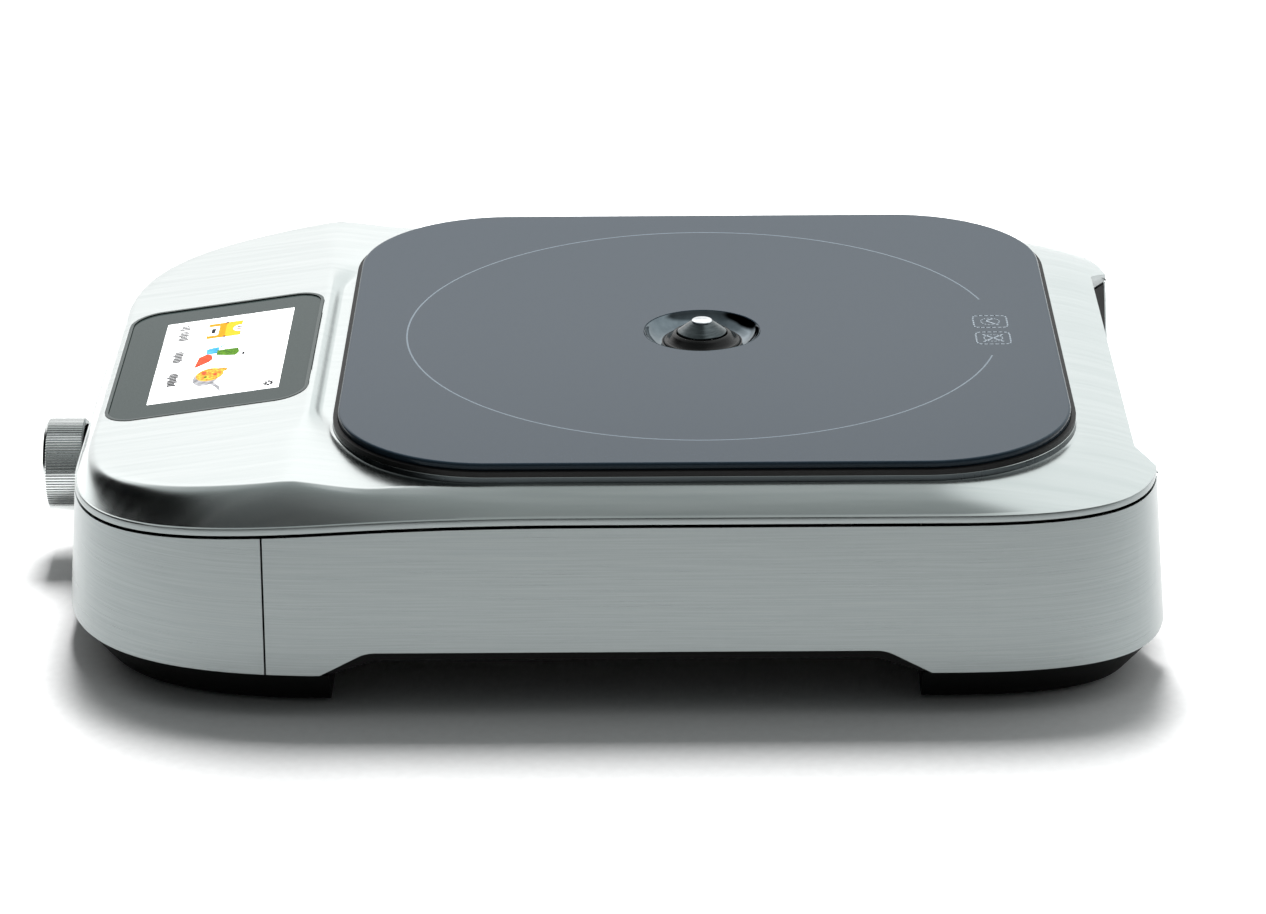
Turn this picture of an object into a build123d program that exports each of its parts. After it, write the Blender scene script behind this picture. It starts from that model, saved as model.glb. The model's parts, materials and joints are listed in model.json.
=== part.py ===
from build123d import *
from math import cos, radians, sin, sqrt, tan
import os

# Portable induction cooker with a temperature sensor that stands up through the middle of the glass.
# Frame: +Z up, the control side faces -Y, origin on the floor under the middle of the whole object.

# ---- driving dimensions, millimetres ----
GLASS_SIDE = 300.0
GLASS_CORNER = 63.0
GLASS_THICKNESS = 4.0
GLASS_TOP = 100.6
HOB_Y = 47.5

BODY_HALF = 170.8
BODY_FRONT = -216.6
BODY_REAR = 236.55
BAND_BOTTOM = 18.0
DRAFT = 0.0775
STEEL = 1.0

# plan corners of the casing: where each corner starts and how far its curve is pulled out
FRONT_FLAT = 74.0
SIDE_FRONT = -100.6
FRONT_PULL = 0.676
REAR_FLAT = 96.8
SIDE_REAR = 144.3
REAR_PULL = 0.7485

# the line where the top cover meets the side bands: level, then bending down to the front
RIM_LEVEL = 80.0
RIM_BEND_START = -10.5
RIM_BEND_RADIUS = 1645.0
RIM_GAP = 1.2

SEAM_Y = -129.1
SEAM_GAP = 0.8
ARCH_FRONT = -107.3
ARCH_REAR = 137.5
ARCH_TOP = 27.5
ARCH_RAMP = 18.6

SHOULDER_TOP = 92.9
SHOULDER_RADIUS = 10.0
COLLAR_SIDE = 304.8
COLLAR_CORNER = 65.4
COLLAR_TOP = 95.6

SCREEN_TILT = 8.1
SCREEN_WIDE = 126.0
SCREEN_DEEP = 83.0
SCREEN_CORNER = 12.0
SCREEN_Y = -160.0
ROOF_CREST_Y = -117.0
ROOF_CREST_Z = 96.7

RECESS_EAR = 117.5
RECESS_HALF = 101.6
RECESS_Y = 222.7

FLOOR_UNDER = 24.0
FLOOR_TOP = 26.5
TRAY_INSET = 1.4
TRAY_WALL = 2.5
TRAY_SOLE = BAND_BOTTOM + TRAY_WALL
FOOT_LEVEL = 2.5
FOOT_INSET = 12.5
FOOT_PLACES = {
    "front_left": (-118, -160),
    "front_right": (118, -160),
    "rear_left": (-120, 188),
    "rear_right": (120, 188),
}

DIAL_Z = 40.6
DIAL_RADIUS = 20.0
DIAL_FACE = -235.2
DIAL_BACK = -218.0
SHAFT_RADIUS = 3.0
BUTTON_X = -60.0
RUNNING_GAP = 0.05

FAN_SIDE = 80.0
FAN_HEIGHT = 25.0
FAN_Y = 95.0
FAN_PLACES = {"left": -86.0, "right": 86.0}

SHIELD_Z = 80.0
POST_PLACES = [(-140, -68), (140, -68), (-140, 100), (140, 100)]
BOARD_Z = 36.0
GLAND_X = 84.0
GLAND_Z = 46.0
CORD_BORE = 4.0

os.makedirs("parts", exist_ok=True)


def save(part, name):
    part.label = name
    export_step(part, f"parts/{name}.step")


# ---- shared outlines ----
def casing_outline(inset):
    """The casing in plan: flat sides, wide front corners and tighter rear corners."""
    half = BODY_HALF - inset
    front = BODY_FRONT + inset
    rear = BODY_REAR - inset
    front_pull_x = FRONT_FLAT + FRONT_PULL * (half - FRONT_FLAT)
    front_pull_y = SIDE_FRONT + FRONT_PULL * (front - SIDE_FRONT)
    rear_pull_x = REAR_FLAT + REAR_PULL * (half - REAR_FLAT)
    rear_pull_y = SIDE_REAR + REAR_PULL * (rear - SIDE_REAR)
    with BuildSketch() as shape:
        with BuildLine():
            Line((0, front), (FRONT_FLAT, front))
            Bezier((FRONT_FLAT, front), (front_pull_x, front), (half, front_pull_y), (half, SIDE_FRONT))
            Line((half, SIDE_FRONT), (half, SIDE_REAR))
            Bezier((half, SIDE_REAR), (half, rear_pull_y), (rear_pull_x, rear), (REAR_FLAT, rear))
            Line((REAR_FLAT, rear), (0, rear))
            mirror(about=Plane.YZ)
        make_face()
    return shape.sketch


def casing_block(inset, low, high):
    """The drafted body of the casing between two levels, set in from its outer skin."""
    with BuildPart() as block:
        for level in (low, high):
            with BuildSketch(Plane.XY.offset(level)):
                add(casing_outline(inset + DRAFT * (level - BAND_BOTTOM)))
        loft(ruled=True)
    return block.part


def rim_height(y):
    run = RIM_BEND_START - y
    return RIM_LEVEL - (RIM_BEND_RADIUS - sqrt(RIM_BEND_RADIUS**2 - run**2))


def above_rim(lift):
    """Side view of everything above the line between the cover and the bands."""
    end = BODY_FRONT - 20
    middle = (end + RIM_BEND_START) / 2
    far = BODY_REAR + 20
    with BuildSketch() as shape:
        with BuildLine():
            ThreePointArc(
                (RIM_BEND_START, RIM_LEVEL + lift),
                (middle, rim_height(middle) + lift),
                (end, rim_height(end) + lift),
            )
            Polyline(
                (end, rim_height(end) + lift),
                (end, 140),
                (far, 140),
                (far, RIM_LEVEL + lift),
                (RIM_BEND_START, RIM_LEVEL + lift),
            )
        make_face()
    return shape.sketch


def under_roof(drop):
    """Side view of the cover: level round the hob, a step up, then sloping down to the front."""
    end = BODY_FRONT - 20
    far = BODY_REAR + 20
    level = SHOULDER_TOP - drop
    crest = ROOF_CREST_Z - drop
    fall = tan(radians(SCREEN_TILT)) * (ROOF_CREST_Y - end)
    with BuildSketch() as shape:
        with BuildLine():
            Polyline(
                (far, level),
                (ROOF_CREST_Y + 8, level),
                (ROOF_CREST_Y, crest),
                (end, crest - fall),
                (end, BAND_BOTTOM),
                (far, BAND_BOTTOM),
                close=True,
            )
        make_face()
    return shape.sketch


def recess_outline(grow):
    """Plan of the shallow bay in the rear of the casing."""
    floor = RECESS_Y - grow
    far = BODY_REAR + 20
    with BuildSketch() as shape:
        with BuildLine():
            Polyline(
                (-RECESS_EAR - grow, far),
                (-RECESS_EAR - grow, BODY_REAR - 4),
                (-RECESS_HALF - grow, floor),
                (RECESS_HALF + grow, floor),
                (RECESS_EAR + grow, BODY_REAR - 4),
                (RECESS_EAR + grow, far),
                close=True,
            )
        make_face()
        fillet(shape.vertices().group_by(Axis.Y)[0], radius=6)
    return shape.sketch


def arch_outline(grow):
    """Side view of the long arch under the casing, between the feet."""
    front = ARCH_FRONT - grow
    rear = ARCH_REAR + grow
    top = ARCH_TOP + grow
    with BuildSketch() as shape:
        with BuildLine():
            Polyline(
                (front, BAND_BOTTOM),
                (front + ARCH_RAMP, top),
                (rear - ARCH_RAMP, top),
                (rear, BAND_BOTTOM),
                (rear, -5),
                (front, -5),
                close=True,
            )
        make_face()
        fillet(shape.vertices().group_by(Axis.Y)[-1], radius=14)
    return shape.sketch


def rounded_square(side, corner):
    with BuildSketch() as shape:
        RectangleRounded(side, side, corner)
    return shape.sketch


SCREEN_PLANE = Plane(
    origin=(0, SCREEN_Y, ROOF_CREST_Z - tan(radians(SCREEN_TILT)) * (ROOF_CREST_Y - SCREEN_Y)),
    x_dir=(1, 0, 0),
    z_dir=(0, -sin(radians(SCREEN_TILT)), cos(radians(SCREEN_TILT))),
)


def hob_plane(level):
    return Plane(origin=(0, HOB_Y, level))


def front_plane(x, y, z):
    """A plane that faces the front, so that positive extrusions come out of the casing."""
    return Plane(origin=(x, y, z), x_dir=(1, 0, 0), z_dir=(0, -1, 0))


# ---- glass, gasket and mica ----
WELL_HOLE = 24.75

with BuildPart() as glass_plate:
    with BuildSketch(hob_plane(GLASS_TOP - GLASS_THICKNESS)):
        add(rounded_square(GLASS_SIDE, GLASS_CORNER))
        Circle(WELL_HOLE, mode=Mode.SUBTRACT)
    extrude(amount=GLASS_THICKNESS)
    chamfer(glass_plate.edges().group_by(Axis.Z)[-1].sort_by(SortBy.LENGTH)[1:], length=0.5)
save(glass_plate.part, "glass_plate")

GASKET_SIDE = GLASS_SIDE + 4.0
GASKET_LIP = 1.2
with BuildPart() as glass_gasket:
    with BuildSketch(hob_plane(COLLAR_TOP)):
        add(rounded_square(GASKET_SIDE, GLASS_CORNER + 2))
        add(rounded_square(GLASS_SIDE - 18, GLASS_CORNER - 9), mode=Mode.SUBTRACT)
    extrude(amount=GLASS_TOP - GLASS_THICKNESS - COLLAR_TOP)
    with BuildSketch(hob_plane(COLLAR_TOP)):
        add(rounded_square(GASKET_SIDE, GLASS_CORNER + 2))
        add(rounded_square(GLASS_SIDE + 0.4, GLASS_CORNER + 0.2), mode=Mode.SUBTRACT)
    extrude(amount=GLASS_TOP - GLASS_THICKNESS - COLLAR_TOP + GASKET_LIP)
save(glass_gasket.part, "glass_gasket")


# ---- top cover ----
def cover_solid(inset, drop, radius):
    with BuildPart() as solid:
        add(casing_block(inset, 55, 105))
        with BuildSketch(Plane.YZ):
            add(under_roof(drop))
        extrude(amount=200, both=True, mode=Mode.INTERSECT)
        roof_edges = solid.faces().filter_by(lambda face: face.normal_at().Z > 0.5).edges()
        on_side = roof_edges.filter_by(lambda edge: abs(edge.center().X) > 1)
        across_ends = roof_edges.filter_by(
            lambda edge: abs(edge.center().X) < 1 and abs(edge.center().Y - ROOF_CREST_Y) > 10
        )
        fillet(on_side + across_ends, radius=radius)
    return solid.part


SCREEN_OPENING_WIDE = SCREEN_WIDE + 3.6
SCREEN_OPENING_DEEP = SCREEN_DEEP + 3.6
with BuildPart() as cover_inside:
    add(cover_solid(STEEL, STEEL, SHOULDER_RADIUS - STEEL))
    with BuildSketch(Plane.XY):
        add(recess_outline(STEEL))
    extrude(amount=140, mode=Mode.SUBTRACT)

with BuildPart() as top_cover:
    add(cover_solid(0, 0, SHOULDER_RADIUS))
    with BuildSketch(hob_plane(SHOULDER_TOP - 2)):
        add(rounded_square(COLLAR_SIDE, COLLAR_CORNER))
    extrude(amount=COLLAR_TOP - SHOULDER_TOP + 2)
    with BuildSketch(Plane.XY):
        add(recess_outline(0))
    extrude(amount=140, mode=Mode.SUBTRACT)
    add(cover_inside.part, mode=Mode.SUBTRACT)
    with BuildSketch(hob_plane(60)):
        add(rounded_square(GLASS_SIDE - 14, GLASS_CORNER - 7))
    extrude(amount=60, mode=Mode.SUBTRACT)
    with BuildSketch(Plane.YZ):
        add(above_rim(RIM_GAP / 2))
    extrude(amount=200, both=True, mode=Mode.INTERSECT)
    with BuildSketch(SCREEN_PLANE.offset(-8)):
        RectangleRounded(SCREEN_OPENING_WIDE, SCREEN_OPENING_DEEP, SCREEN_CORNER + 1.8)
    extrude(amount=16, mode=Mode.SUBTRACT)
save(top_cover.part, "top_cover")


# ---- side bands ----
def band_shell():
    """The whole steel band round the casing, open at the rear bay, before it is parted."""
    with BuildPart() as shell:
        add(casing_block(0, BAND_BOTTOM, RIM_LEVEL + 4))
        add(casing_block(STEEL, BAND_BOTTOM - 6, RIM_LEVEL + 6), mode=Mode.SUBTRACT)
        with BuildSketch(Plane.XY):
            add(recess_outline(0))
        extrude(amount=140, mode=Mode.SUBTRACT)
        with BuildSketch(Plane.YZ):
            add(above_rim(-RIM_GAP / 2))
        extrude(amount=200, both=True, mode=Mode.SUBTRACT)
        with BuildSketch(Plane.YZ):
            add(arch_outline(0))
        extrude(amount=200, both=True, mode=Mode.SUBTRACT)
    return shell.part


band = band_shell()
RING_RADIUS = 18.0
BUTTON_RADIUS = 8.0
with BuildPart() as front_wrap:
    add(band)
    split(bisect_by=Plane.XZ.offset(-(SEAM_Y - SEAM_GAP / 2)), keep=Keep.TOP)
    with BuildSketch(front_plane(0, BODY_FRONT + 8, DIAL_Z)):
        Circle(RING_RADIUS + 0.2)
        with Locations((BUTTON_X, 0)):
            Circle(BUTTON_RADIUS + 0.4)
    extrude(amount=20, mode=Mode.SUBTRACT)
save(front_wrap.part, "front_wrap")

for side, keep in (("left", Keep.BOTTOM), ("right", Keep.TOP)):
    with BuildPart() as side_panel:
        add(band)
        split(bisect_by=Plane.XZ.offset(-(SEAM_Y + SEAM_GAP / 2)), keep=Keep.BOTTOM)
        split(bisect_by=Plane.YZ, keep=keep)
    save(side_panel.part, f"side_panel_{side}")

# ---- rear panel with its exhaust grille, and the cord's gland ----
PANEL_THICKNESS = 2.4
GRILLE_SLOTS = 26
GRILLE_X = -18.0
GRILLE_Z = 48.0
with BuildPart() as rear_panel:
    with BuildSketch(Plane.XY.offset(TRAY_SOLE)):
        add(recess_outline(PANEL_THICKNESS))
        add(recess_outline(0), mode=Mode.SUBTRACT)
    extrude(amount=RIM_LEVEL - RIM_GAP / 2 - TRAY_SOLE)
    add(casing_block(STEEL + 0.2, BAND_BOTTOM, RIM_LEVEL), mode=Mode.INTERSECT)
    with BuildSketch(Plane.XZ.offset(-RECESS_Y)):
        with Locations((GRILLE_X, GRILLE_Z)):
            with GridLocations(5.8, 0, GRILLE_SLOTS, 1):
                SlotOverall(34, 3.0, rotation=90)
        with Locations((GLAND_X, GLAND_Z)):
            Circle(7.5)
    extrude(amount=PANEL_THICKNESS, mode=Mode.SUBTRACT)
save(rear_panel.part, "rear_panel")

GLAND_END = BODY_REAR - 6
GLAND_ROOT = 204.0
with BuildPart() as cord_gland:
    with BuildSketch(Plane.XZ.offset(-GLAND_END)):
        with Locations((GLAND_X, GLAND_Z)):
            Circle(6.6)
    extrude(amount=GLAND_END - RECESS_Y, taper=-4)
    with BuildSketch(Plane.XZ.offset(-RECESS_Y - 3.5)):
        with Locations((GLAND_X, GLAND_Z)):
            RegularPolygon(10, 6)
    extrude(amount=3.5)
    with BuildSketch(Plane.XZ.offset(-RECESS_Y)):
        with Locations((GLAND_X, GLAND_Z)):
            Circle(7.2)
    extrude(amount=RECESS_Y - GLAND_ROOT)
    with BuildSketch(Plane.XZ.offset(-GLAND_END)):
        with Locations((GLAND_X, GLAND_Z)):
            Circle(CORD_BORE)
    extrude(amount=GLAND_END - GLAND_ROOT, mode=Mode.SUBTRACT)
save(cord_gland.part, "cord_gland")

GLAND_NUT_FRONT = RECESS_Y - PANEL_THICKNESS
with BuildPart() as gland_nut:
    with BuildSketch(Plane.XZ.offset(-GLAND_NUT_FRONT)):
        with Locations((GLAND_X, GLAND_Z)):
            RegularPolygon(10.5, 6)
            Circle(7.2 + RUNNING_GAP, mode=Mode.SUBTRACT)
    extrude(amount=4.5)
save(gland_nut.part, "gland_nut")


# ---- base tray, plinths and feet ----
TRAY_RIM = 33.0
FAN_SLOTS = 10
with BuildPart() as tray_hollow:
    add(casing_block(TRAY_INSET + TRAY_WALL, TRAY_SOLE, TRAY_RIM + 2))
    with BuildSketch(Plane.YZ):
        add(arch_outline(FLOOR_TOP - ARCH_TOP))
    extrude(amount=200, both=True, mode=Mode.SUBTRACT)

with BuildPart() as base_tray:
    add(casing_block(TRAY_INSET, BAND_BOTTOM, TRAY_RIM))
    add(tray_hollow.part, mode=Mode.SUBTRACT)
    with BuildSketch(Plane.XY.offset(TRAY_SOLE)):
        add(recess_outline(PANEL_THICKNESS + 0.4))
        with Locations((BUTTON_X / 2, BODY_FRONT)):
            Rectangle(110, 24)
    extrude(amount=TRAY_RIM, mode=Mode.SUBTRACT)
    with BuildSketch(Plane.XY.offset(BAND_BOTTOM)):
        add(recess_outline(0))
    extrude(amount=TRAY_WALL, mode=Mode.SUBTRACT)
    with BuildSketch(Plane.YZ):
        add(arch_outline(FLOOR_UNDER - ARCH_TOP))
    extrude(amount=200, both=True, mode=Mode.SUBTRACT)
    with BuildSketch(Plane.XY.offset(FLOOR_TOP)):
        with GridLocations(180, 80, 2, 2):
            with Locations((0, -20)):
                Circle(3.5)
    extrude(amount=BOARD_Z - FLOOR_TOP)
    with BuildSketch(Plane.XY.offset(FLOOR_UNDER)):
        for x in FAN_PLACES.values():
            with Locations((x, FAN_Y)):
                with GridLocations(7, 0, FAN_SLOTS, 1):
                    SlotOverall(58, 3.4, rotation=90)
        with Locations(*POST_PLACES):
            Circle(2.1)
    extrude(amount=FLOOR_TOP - FLOOR_UNDER, mode=Mode.SUBTRACT)
save(base_tray.part, "base_tray")

SPIGOT_RADIUS = 3.0
PLINTH_INSET = 0.4


def plinth(grow):
    """The foot of the casing, tapering in to the floor, at both ends of the arch."""
    with BuildPart() as block:
        with BuildSketch(Plane.XY.offset(FOOT_LEVEL + grow)):
            add(casing_outline(FOOT_INSET + grow))
        with BuildSketch(Plane.XY.offset(BAND_BOTTOM)):
            add(casing_outline(PLINTH_INSET + grow))
        loft(ruled=True)
        with BuildSketch(Plane.YZ):
            add(arch_outline(FLOOR_UNDER - ARCH_TOP + grow))
        extrude(amount=200, both=True, mode=Mode.SUBTRACT)
        with BuildSketch(Plane.XY):
            add(recess_outline(grow))
        extrude(amount=BAND_BOTTOM, mode=Mode.SUBTRACT)
    return block.part


for end, keep in (("front", Keep.TOP), ("rear", Keep.BOTTOM)):
    with BuildPart() as foot_plinth:
        add(plinth(0))
        add(plinth(3), mode=Mode.SUBTRACT)
        split(bisect_by=Plane.XZ, keep=keep)
        with BuildSketch(Plane.XY.offset(FOOT_LEVEL)):
            with Locations(*[place for name, place in FOOT_PLACES.items() if name.startswith(end)]):
                Circle(SPIGOT_RADIUS)
        extrude(amount=3, mode=Mode.SUBTRACT)
    save(foot_plinth.part, f"{end}_plinth")

for place, (x, y) in FOOT_PLACES.items():
    with BuildPart() as foot_pad:
        with BuildSketch(Plane(origin=(x, y, 0))):
            Circle(14)
        extrude(amount=FOOT_LEVEL)
        chamfer(foot_pad.edges().group_by(Axis.Z)[0], length=0.8)
        with BuildSketch(Plane(origin=(x, y, FOOT_LEVEL))):
            Circle(SPIGOT_RADIUS - RUNNING_GAP)
        extrude(amount=2.8)
    save(foot_pad.part, f"foot_pad_{place}")

# ---- temperature sensor: fixed well and guide, sprung stem, cone and cap ----
with BuildPart() as sensor_well:
    with BuildSketch(Plane.XZ.offset(-HOB_Y)):
        with BuildLine():
            Polyline((24.1, 100.45), (24.6, 100.45), (24.6, 96.5), (28, 96.5), (28, 95))
            Polyline((28, 95), (21, 95), (19.5, 93.4), (14, 93.4), (14, 84), (12.4, 84))
            Polyline((12.4, 84), (12.4, 94.9), (17.4, 94.9))
            ThreePointArc((17.4, 94.9), (21.6, 96.9), (24.1, 100.45))
        make_face()
    revolve(axis=Axis((0, HOB_Y, 0), (0, 0, 1)))
save(sensor_well.part, "sensor_well")

with BuildPart() as sensor_boot:
    with BuildSketch(Plane.XZ.offset(-HOB_Y)):
        with BuildLine():
            Polyline((17.2, 95.0), (17.2, 95.8), (14.8, 96.3), (13.6, 97.6), (12.6, 99.2), (11.2, 99.9))
            Polyline((11.2, 99.9), (10.9, 99.0), (11.8, 98.4), (12.6, 97.0), (13.6, 95.0), (17.2, 95.0))
        make_face()
    revolve(axis=Axis((0, HOB_Y, 0), (0, 0, 1)))
save(sensor_boot.part, "sensor_boot")

STEM_RADIUS = 4.0
CONE_FOOT = 99.6
CONE_TOP = 104.6
CAP_TOP = 105.4
with BuildPart() as sensor_cone:
    with BuildSketch(Plane.XZ.offset(-HOB_Y)):
        with BuildLine():
            Polyline((STEM_RADIUS, CONE_FOOT), (10.0, CONE_FOOT), (10.5, 100.1), (10.5, 100.7))
            Polyline((10.5, 100.7), (9.4, 101.0), (4.6, CONE_TOP), (STEM_RADIUS, CONE_TOP))
            Line((STEM_RADIUS, CONE_TOP), (STEM_RADIUS, CONE_FOOT))
        make_face()
    revolve(axis=Axis((0, HOB_Y, 0), (0, 0, 1)))
save(sensor_cone.part, "sensor_cone")

with BuildPart() as sensor_cap:
    with BuildSketch(hob_plane(CONE_TOP)):
        Circle(4.4)
    extrude(amount=CAP_TOP - CONE_TOP)
    fillet(sensor_cap.edges().group_by(Axis.Z)[-1], radius=0.3)
save(sensor_cap.part, "sensor_cap")

STEM_FOOT = 56.0
SPRING_SEAT = 84.0
GUIDE_FLOOR = 63.0
with BuildPart() as sensor_stem:
    with BuildSketch(hob_plane(STEM_FOOT)):
        Circle(STEM_RADIUS)
    extrude(amount=CONE_TOP - STEM_FOOT)
    with BuildSketch(hob_plane(SPRING_SEAT)):
        Circle(7)
    extrude(amount=2)
save(sensor_stem.part, "sensor_stem")

with BuildPart() as sensor_guide:
    with BuildSketch(hob_plane(GUIDE_FLOOR - 3)):
        Circle(10)
    extrude(amount=SHIELD_Z - GUIDE_FLOOR + 3)
    with BuildSketch(hob_plane(SHIELD_Z - 2)):
        Circle(26)
    extrude(amount=2)
    with BuildSketch(hob_plane(GUIDE_FLOOR)):
        Circle(8)
    extrude(amount=30, mode=Mode.SUBTRACT)
    with BuildSketch(hob_plane(GUIDE_FLOOR - 3)):
        Circle(STEM_RADIUS + RUNNING_GAP)
    extrude(amount=3, mode=Mode.SUBTRACT)
save(sensor_guide.part, "sensor_guide")

SPRING_WIRE = 0.6
SPRING_RADIUS = 5.8
SPRING_TURNS = 6
SPRING_END = 1.2
SPRING_HEIGHT = SPRING_SEAT - GUIDE_FLOOR - 2 * SPRING_END
with BuildPart() as sensor_spring:
    with BuildLine():
        coil = Helix(
            pitch=SPRING_HEIGHT / SPRING_TURNS,
            height=SPRING_HEIGHT,
            radius=SPRING_RADIUS,
            center=(0, HOB_Y, GUIDE_FLOOR + SPRING_END),
        )
    with BuildSketch(Plane(origin=coil @ 0, z_dir=coil % 0)):
        Circle(SPRING_WIRE)
    sweep(is_frenet=True)
save(sensor_spring.part, "sensor_spring")

# ---- coil and its shield ----
with BuildPart() as shield_plate:
    with BuildSketch(Plane(origin=(0, HOB_Y, SHIELD_Z))):
        RectangleRounded(300, 245, 40)
        Circle(15, mode=Mode.SUBTRACT)
    extrude(amount=1.5)
    with BuildSketch(Plane.XY.offset(SHIELD_Z)):
        with Locations(*POST_PLACES):
            Circle(2.1)
    extrude(amount=1.5, mode=Mode.SUBTRACT)
save(shield_plate.part, "shield_plate")

with BuildPart() as ferrite_bars:
    with BuildSketch(hob_plane(SHIELD_Z + 1.5)):
        with PolarLocations(70, 8):
            Rectangle(64, 12)
    extrude(amount=5)
save(ferrite_bars.part, "ferrite_bars")

FORMER_Z = SHIELD_Z + 6.5
with BuildPart() as coil_former:
    with BuildSketch(hob_plane(FORMER_Z)):
        Circle(110)
        Circle(30, mode=Mode.SUBTRACT)
    extrude(amount=3)
    with BuildSketch(hob_plane(FORMER_Z + 3)):
        Circle(110)
        Circle(107, mode=Mode.SUBTRACT)
    extrude(amount=4)
    with BuildSketch(hob_plane(FORMER_Z + 3)):
        Circle(34)
        Circle(30, mode=Mode.SUBTRACT)
    extrude(amount=4)
save(coil_former.part, "coil_former")

WINDING_TURNS = 15
TURN_PITCH = 4.7
TURN_WIDTH = 4.2
with BuildPart() as coil_winding:
    with BuildSketch(hob_plane(FORMER_Z + 3)):
        for turn in reversed(range(WINDING_TURNS)):
            inner = 35 + TURN_PITCH * turn
            Circle(inner + TURN_WIDTH)
            Circle(inner, mode=Mode.SUBTRACT)
    extrude(amount=3.6)
save(coil_winding.part, "coil_winding")

with BuildPart() as mica_sheet:
    with BuildSketch(hob_plane(FORMER_Z + 7)):
        Circle(112)
        Circle(30, mode=Mode.SUBTRACT)
    extrude(amount=0.8)
save(mica_sheet.part, "mica_sheet")

with BuildPart() as coil_posts:
    with BuildSketch(Plane.XY.offset(FLOOR_TOP)):
        with Locations(*POST_PLACES):
            Circle(6)
    extrude(amount=SHIELD_Z - FLOOR_TOP)
    with BuildSketch(Plane.XY.offset(FLOOR_TOP)):
        with Locations(*POST_PLACES):
            Circle(2)
    extrude(amount=SHIELD_Z - FLOOR_TOP, mode=Mode.SUBTRACT)
save(coil_posts.part, "coil_posts")


def screws(places, seat, length, shank, head, up):
    """A group of pan-head screws standing on one level, pointing up or down."""
    way = 1 if up else -1
    with BuildPart() as group:
        with BuildSketch(Plane.XY.offset(seat)):
            with Locations(*places):
                Circle(shank)
        extrude(amount=way * length)
        with BuildSketch(Plane.XY.offset(seat)):
            with Locations(*places):
                Circle(head)
        extrude(amount=-way * head * 0.6)
    return group.part


save(screws(POST_PLACES, FLOOR_UNDER, 14, 1.95, 3.8, True), "base_screws")
save(screws(POST_PLACES, SHIELD_Z + 1.5, 12, 1.95, 3.8, False), "shield_screws")

# ---- electronics ----
BOARD_TOP = BOARD_Z + 1.6
with BuildPart() as power_board:
    with BuildSketch(Plane(origin=(0, -20, BOARD_Z))):
        Rectangle(200, 100)
    extrude(amount=1.6)
save(power_board.part, "power_board")

with BuildPart() as filter_board:
    with BuildSketch(Plane(origin=(-130, 5, BOARD_Z))):
        Rectangle(48, 96)
    extrude(amount=1.6)
    with BuildSketch(Plane(origin=(-130, 5, FLOOR_TOP))):
        with GridLocations(36, 84, 2, 2):
            Circle(3)
    extrude(amount=BOARD_Z - FLOOR_TOP)
save(filter_board.part, "filter_board")

with BuildPart() as filter_capacitors:
    with BuildSketch(Plane(origin=(-60, -20, BOARD_TOP))):
        with GridLocations(0, 26, 1, 3):
            RectangleRounded(42, 20, 2)
    extrude(amount=30)
    fillet(filter_capacitors.edges().group_by(Axis.Z)[-1], radius=1.5)
save(filter_capacitors.part, "filter_capacitors")

with BuildPart() as heatsink:
    with BuildSketch(Plane(origin=(35, -20, BOARD_TOP))):
        Rectangle(84, 64)
    extrude(amount=6)
    with BuildSketch(Plane(origin=(35, -20, BOARD_TOP + 6))):
        with GridLocations(7.4, 0, 12, 1):
            Rectangle(1.8, 64)
    extrude(amount=26)
save(heatsink.part, "heatsink")

with BuildPart() as power_transistors:
    with BuildSketch(Plane(origin=(35, -61, BOARD_TOP))):
        with GridLocations(24, 0, 3, 1):
            Rectangle(16, 5)
    extrude(amount=21)
save(power_transistors.part, "power_transistors")

with BuildPart() as line_choke:
    with BuildSketch(Plane(origin=(-130, -12, BOARD_TOP + 0.2))):
        Circle(17)
        Circle(8, mode=Mode.SUBTRACT)
    extrude(amount=14)
    fillet(line_choke.edges(), radius=3)
save(line_choke.part, "line_choke")

with BuildPart() as terminal_block:
    with BuildSketch(Plane(origin=(-130, 40, BOARD_TOP))):
        Rectangle(36, 14)
    extrude(amount=12)
    with BuildSketch(Plane(origin=(-130, 40, BOARD_TOP + 12))):
        with GridLocations(11, 0, 3, 1):
            Circle(3.4)
    extrude(amount=-6, mode=Mode.SUBTRACT)
save(terminal_block.part, "terminal_block")

# ---- two cooling fans and the duct behind them ----
ROTOR_TIP = 36.4
for side, x in FAN_PLACES.items():
    with BuildPart() as fan_frame:
        with BuildSketch(Plane(origin=(x, FAN_Y, FLOOR_TOP))):
            RectangleRounded(FAN_SIDE, FAN_SIDE, 4)
            Circle(38, mode=Mode.SUBTRACT)
            with GridLocations(71.5, 71.5, 2, 2):
                Circle(2.2, mode=Mode.SUBTRACT)
        extrude(amount=FAN_HEIGHT)
        with BuildSketch(Plane(origin=(x, FAN_Y, FLOOR_TOP))):
            Rectangle(77, 5)
            Rectangle(5, 77)
            Circle(15)
            Circle(1.5 + RUNNING_GAP, mode=Mode.SUBTRACT)
        extrude(amount=3)
    save(fan_frame.part, f"fan_frame_{side}")

    with BuildPart() as fan_rotor:
        with BuildSketch(Plane(origin=(x, FAN_Y, FLOOR_TOP + 4))):
            Circle(15.5)
        extrude(amount=18)
        with Locations((x, FAN_Y, FLOOR_TOP + 13.5)):
            with PolarLocations(25, 7):
                Box(2 * (ROTOR_TIP - 25), 1.4, 16, rotation=(42, 0, 0))
        with BuildSketch(Plane(origin=(x, FAN_Y, FLOOR_TOP + 0.5))):
            Circle(1.5)
        extrude(amount=6)
    save(fan_rotor.part, f"fan_rotor_{side}")

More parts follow.
